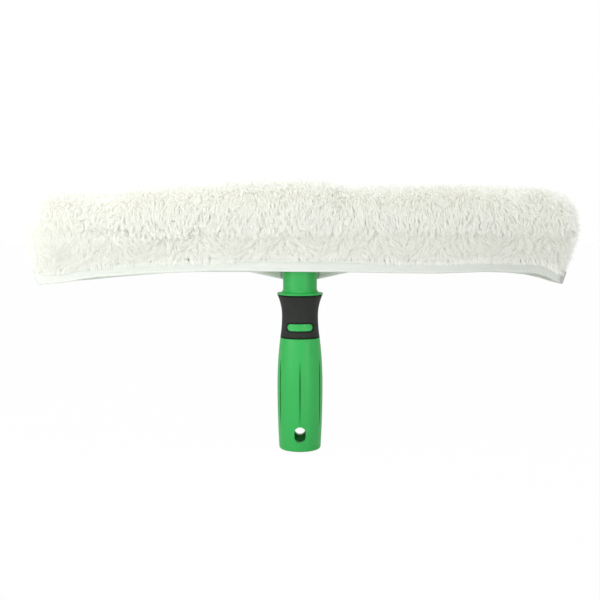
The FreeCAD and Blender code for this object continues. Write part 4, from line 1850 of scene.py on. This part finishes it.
@dataclass
class Studio:
    """White floor and surround, soft lamps from the left and above, a low card, a fill and the camera."""

    camera_place: tuple[float, float, float] = (0.0, -822.0, 193.0)
    framed_lower: float = 0.14
    lens: float = 59.2
    sensor: float = 36.0
    # Light wanders through many clear fibres before it leaves the pile
    max_bounces: int = 48
    diffuse_bounces: int = 16
    transmission_bounces: int = 32
    white: str = "#FFFFFF"
    surround: float = 0.37
    floor_reach: float = 6000.0
    floor_steps: int = 9
    floor_height: float = -1.0
    floor_bounce: float = 0.9
    # The share of the floor that is plain white to the eye, so that a trace of the shadow stays
    floor_glow: float = 0.985
    lamps: tuple[Lamp, ...] = (
        Lamp(name="left", place=(-500.0, -380.0, 220.0), size=250.0, power=1.12),
        Lamp(name="top", place=(-150.0, -420.0, 840.0), size=1000.0, power=4.5),
        Lamp(name="low_card", place=(-250.0, -700.0, 15.0), size=500.0, power=0.7),
        Lamp(
            name="handle_fill",
            place=(380.0, -500.0, 60.0),
            size=200.0,
            power=0.024,
            aim=(0.0, 0.0, 65.0),
            spread=16.0,
        ),
    )

    def build(self) -> None:
        """Sets up the view, the light and the floor."""
        scene = bpy.context.scene
        scene.view_settings.view_transform = "Standard"
        scene.cycles.max_bounces = self.max_bounces
        scene.cycles.diffuse_bounces = self.diffuse_bounces
        scene.cycles.transmission_bounces = self.transmission_bounces
        self.shoot(scene)
        for lamp in self.lamps:
            lamp.hang(scene)
        self.world(scene)
        self.floor()

    def shoot(self, scene: Any) -> None:
        """Places the camera in front of the sleeve, level, with more of the view below it than above.

        Args:
            scene: the scene that is seen.
        """
        camera = bpy.data.cameras.new("camera")
        camera.lens = self.lens
        camera.sensor_width = self.sensor
        camera.shift_y = -self.framed_lower
        holder = bpy.data.objects.new("camera", camera)
        holder.location = [place * METRES_PER_MM for place in self.camera_place]
        holder.rotation_euler = (math.pi / 2, 0.0, 0.0)
        scene.collection.objects.link(holder)
        scene.camera = holder

    def seen(self, tree: Any) -> Any:
        """Tells where the camera, a reflection or glass looks from other light.

        Args:
            tree: the nodes of the world or of the floor.

        Returns:
            A socket that is one where they look, and nought for other light.
        """
        path = add_node(tree, "ShaderNodeLightPath")
        looked_at = path.outputs["Is Camera Ray"]
        for ray in ("Is Glossy Ray", "Is Transmission Ray"):
            either = add_node(tree, "ShaderNodeMath", {"operation": "MAXIMUM"}, {
                0: looked_at,
                1: path.outputs[ray],
            })
            looked_at = either.outputs[0]
        return looked_at

    def world(self, scene: Any) -> None:
        """Makes the surround: white to the eye, and an even soft light.

        Args:
            scene: the scene that it surrounds.
        """
        world = bpy.data.worlds.new("studio")
        world.use_nodes = True
        tree = world.node_tree
        tree.nodes.clear()
        strength = add_node(tree, "ShaderNodeMapRange", {"To Min": self.surround, "To Max": 1.0}, {
            "Value": self.seen(tree),
        })
        white = add_node(tree, "ShaderNodeBackground", {"Color": linear(self.white)}, {
            "Strength": strength.outputs[0],
        })
        add_node(tree, "ShaderNodeOutputWorld", links={"Surface": white.outputs[0]})
        scene.world = world

    def floor(self) -> None:
        """Lays the white floor just under the handle's end, with a trace of the shadow."""
        steps = np.linspace(-self.floor_reach, self.floor_reach, self.floor_steps)
        along, across = np.meshgrid(steps, steps, indexing="ij")
        places = np.stack((along, across, np.full_like(along, self.floor_height)), axis=-1)
        floor = grid_piece("studio_floor", places, ring=False, capped=False)
        paint = bpy.data.materials.new("white_floor_paint")
        paint.use_nodes = True
        tree = paint.node_tree
        tree.nodes.clear()
        grey = (self.floor_bounce, self.floor_bounce, self.floor_bounce, 1.0)
        bounce = add_node(tree, "ShaderNodeBsdfDiffuse", {"Color": grey})
        glow = add_node(tree, "ShaderNodeEmission", {"Color": linear(self.white), "Strength": 1.0})
        share = add_node(tree, "ShaderNodeMath", {"operation": "MULTIPLY", 1: self.floor_glow}, {
            0: self.seen(tree),
        })
        mixed = add_node(tree, "ShaderNodeMixShader", links={
            0: share.outputs[0],
            1: bounce.outputs[0],
            2: glow.outputs[0],
        })
        add_node(tree, "ShaderNodeOutputMaterial", links={"Surface": mixed.outputs[0]})
        floor.data.materials.append(paint)


def main() -> None:
    """Builds the pieces in order and reports each."""
    logging.basicConfig(level=logging.INFO, format="%(message)s")
    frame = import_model()
    form = SleeveForm()
    TBar(frame["nodes"]).dress()
    PileSleeve(form).build()
    PocketLining(form).build()
    Hems(form).build()
    for side in Side:
        ClosureFlap(side).build()
        LoopStrip(side).build()
    Studio().build()


if __name__ == "__main__":
    main()
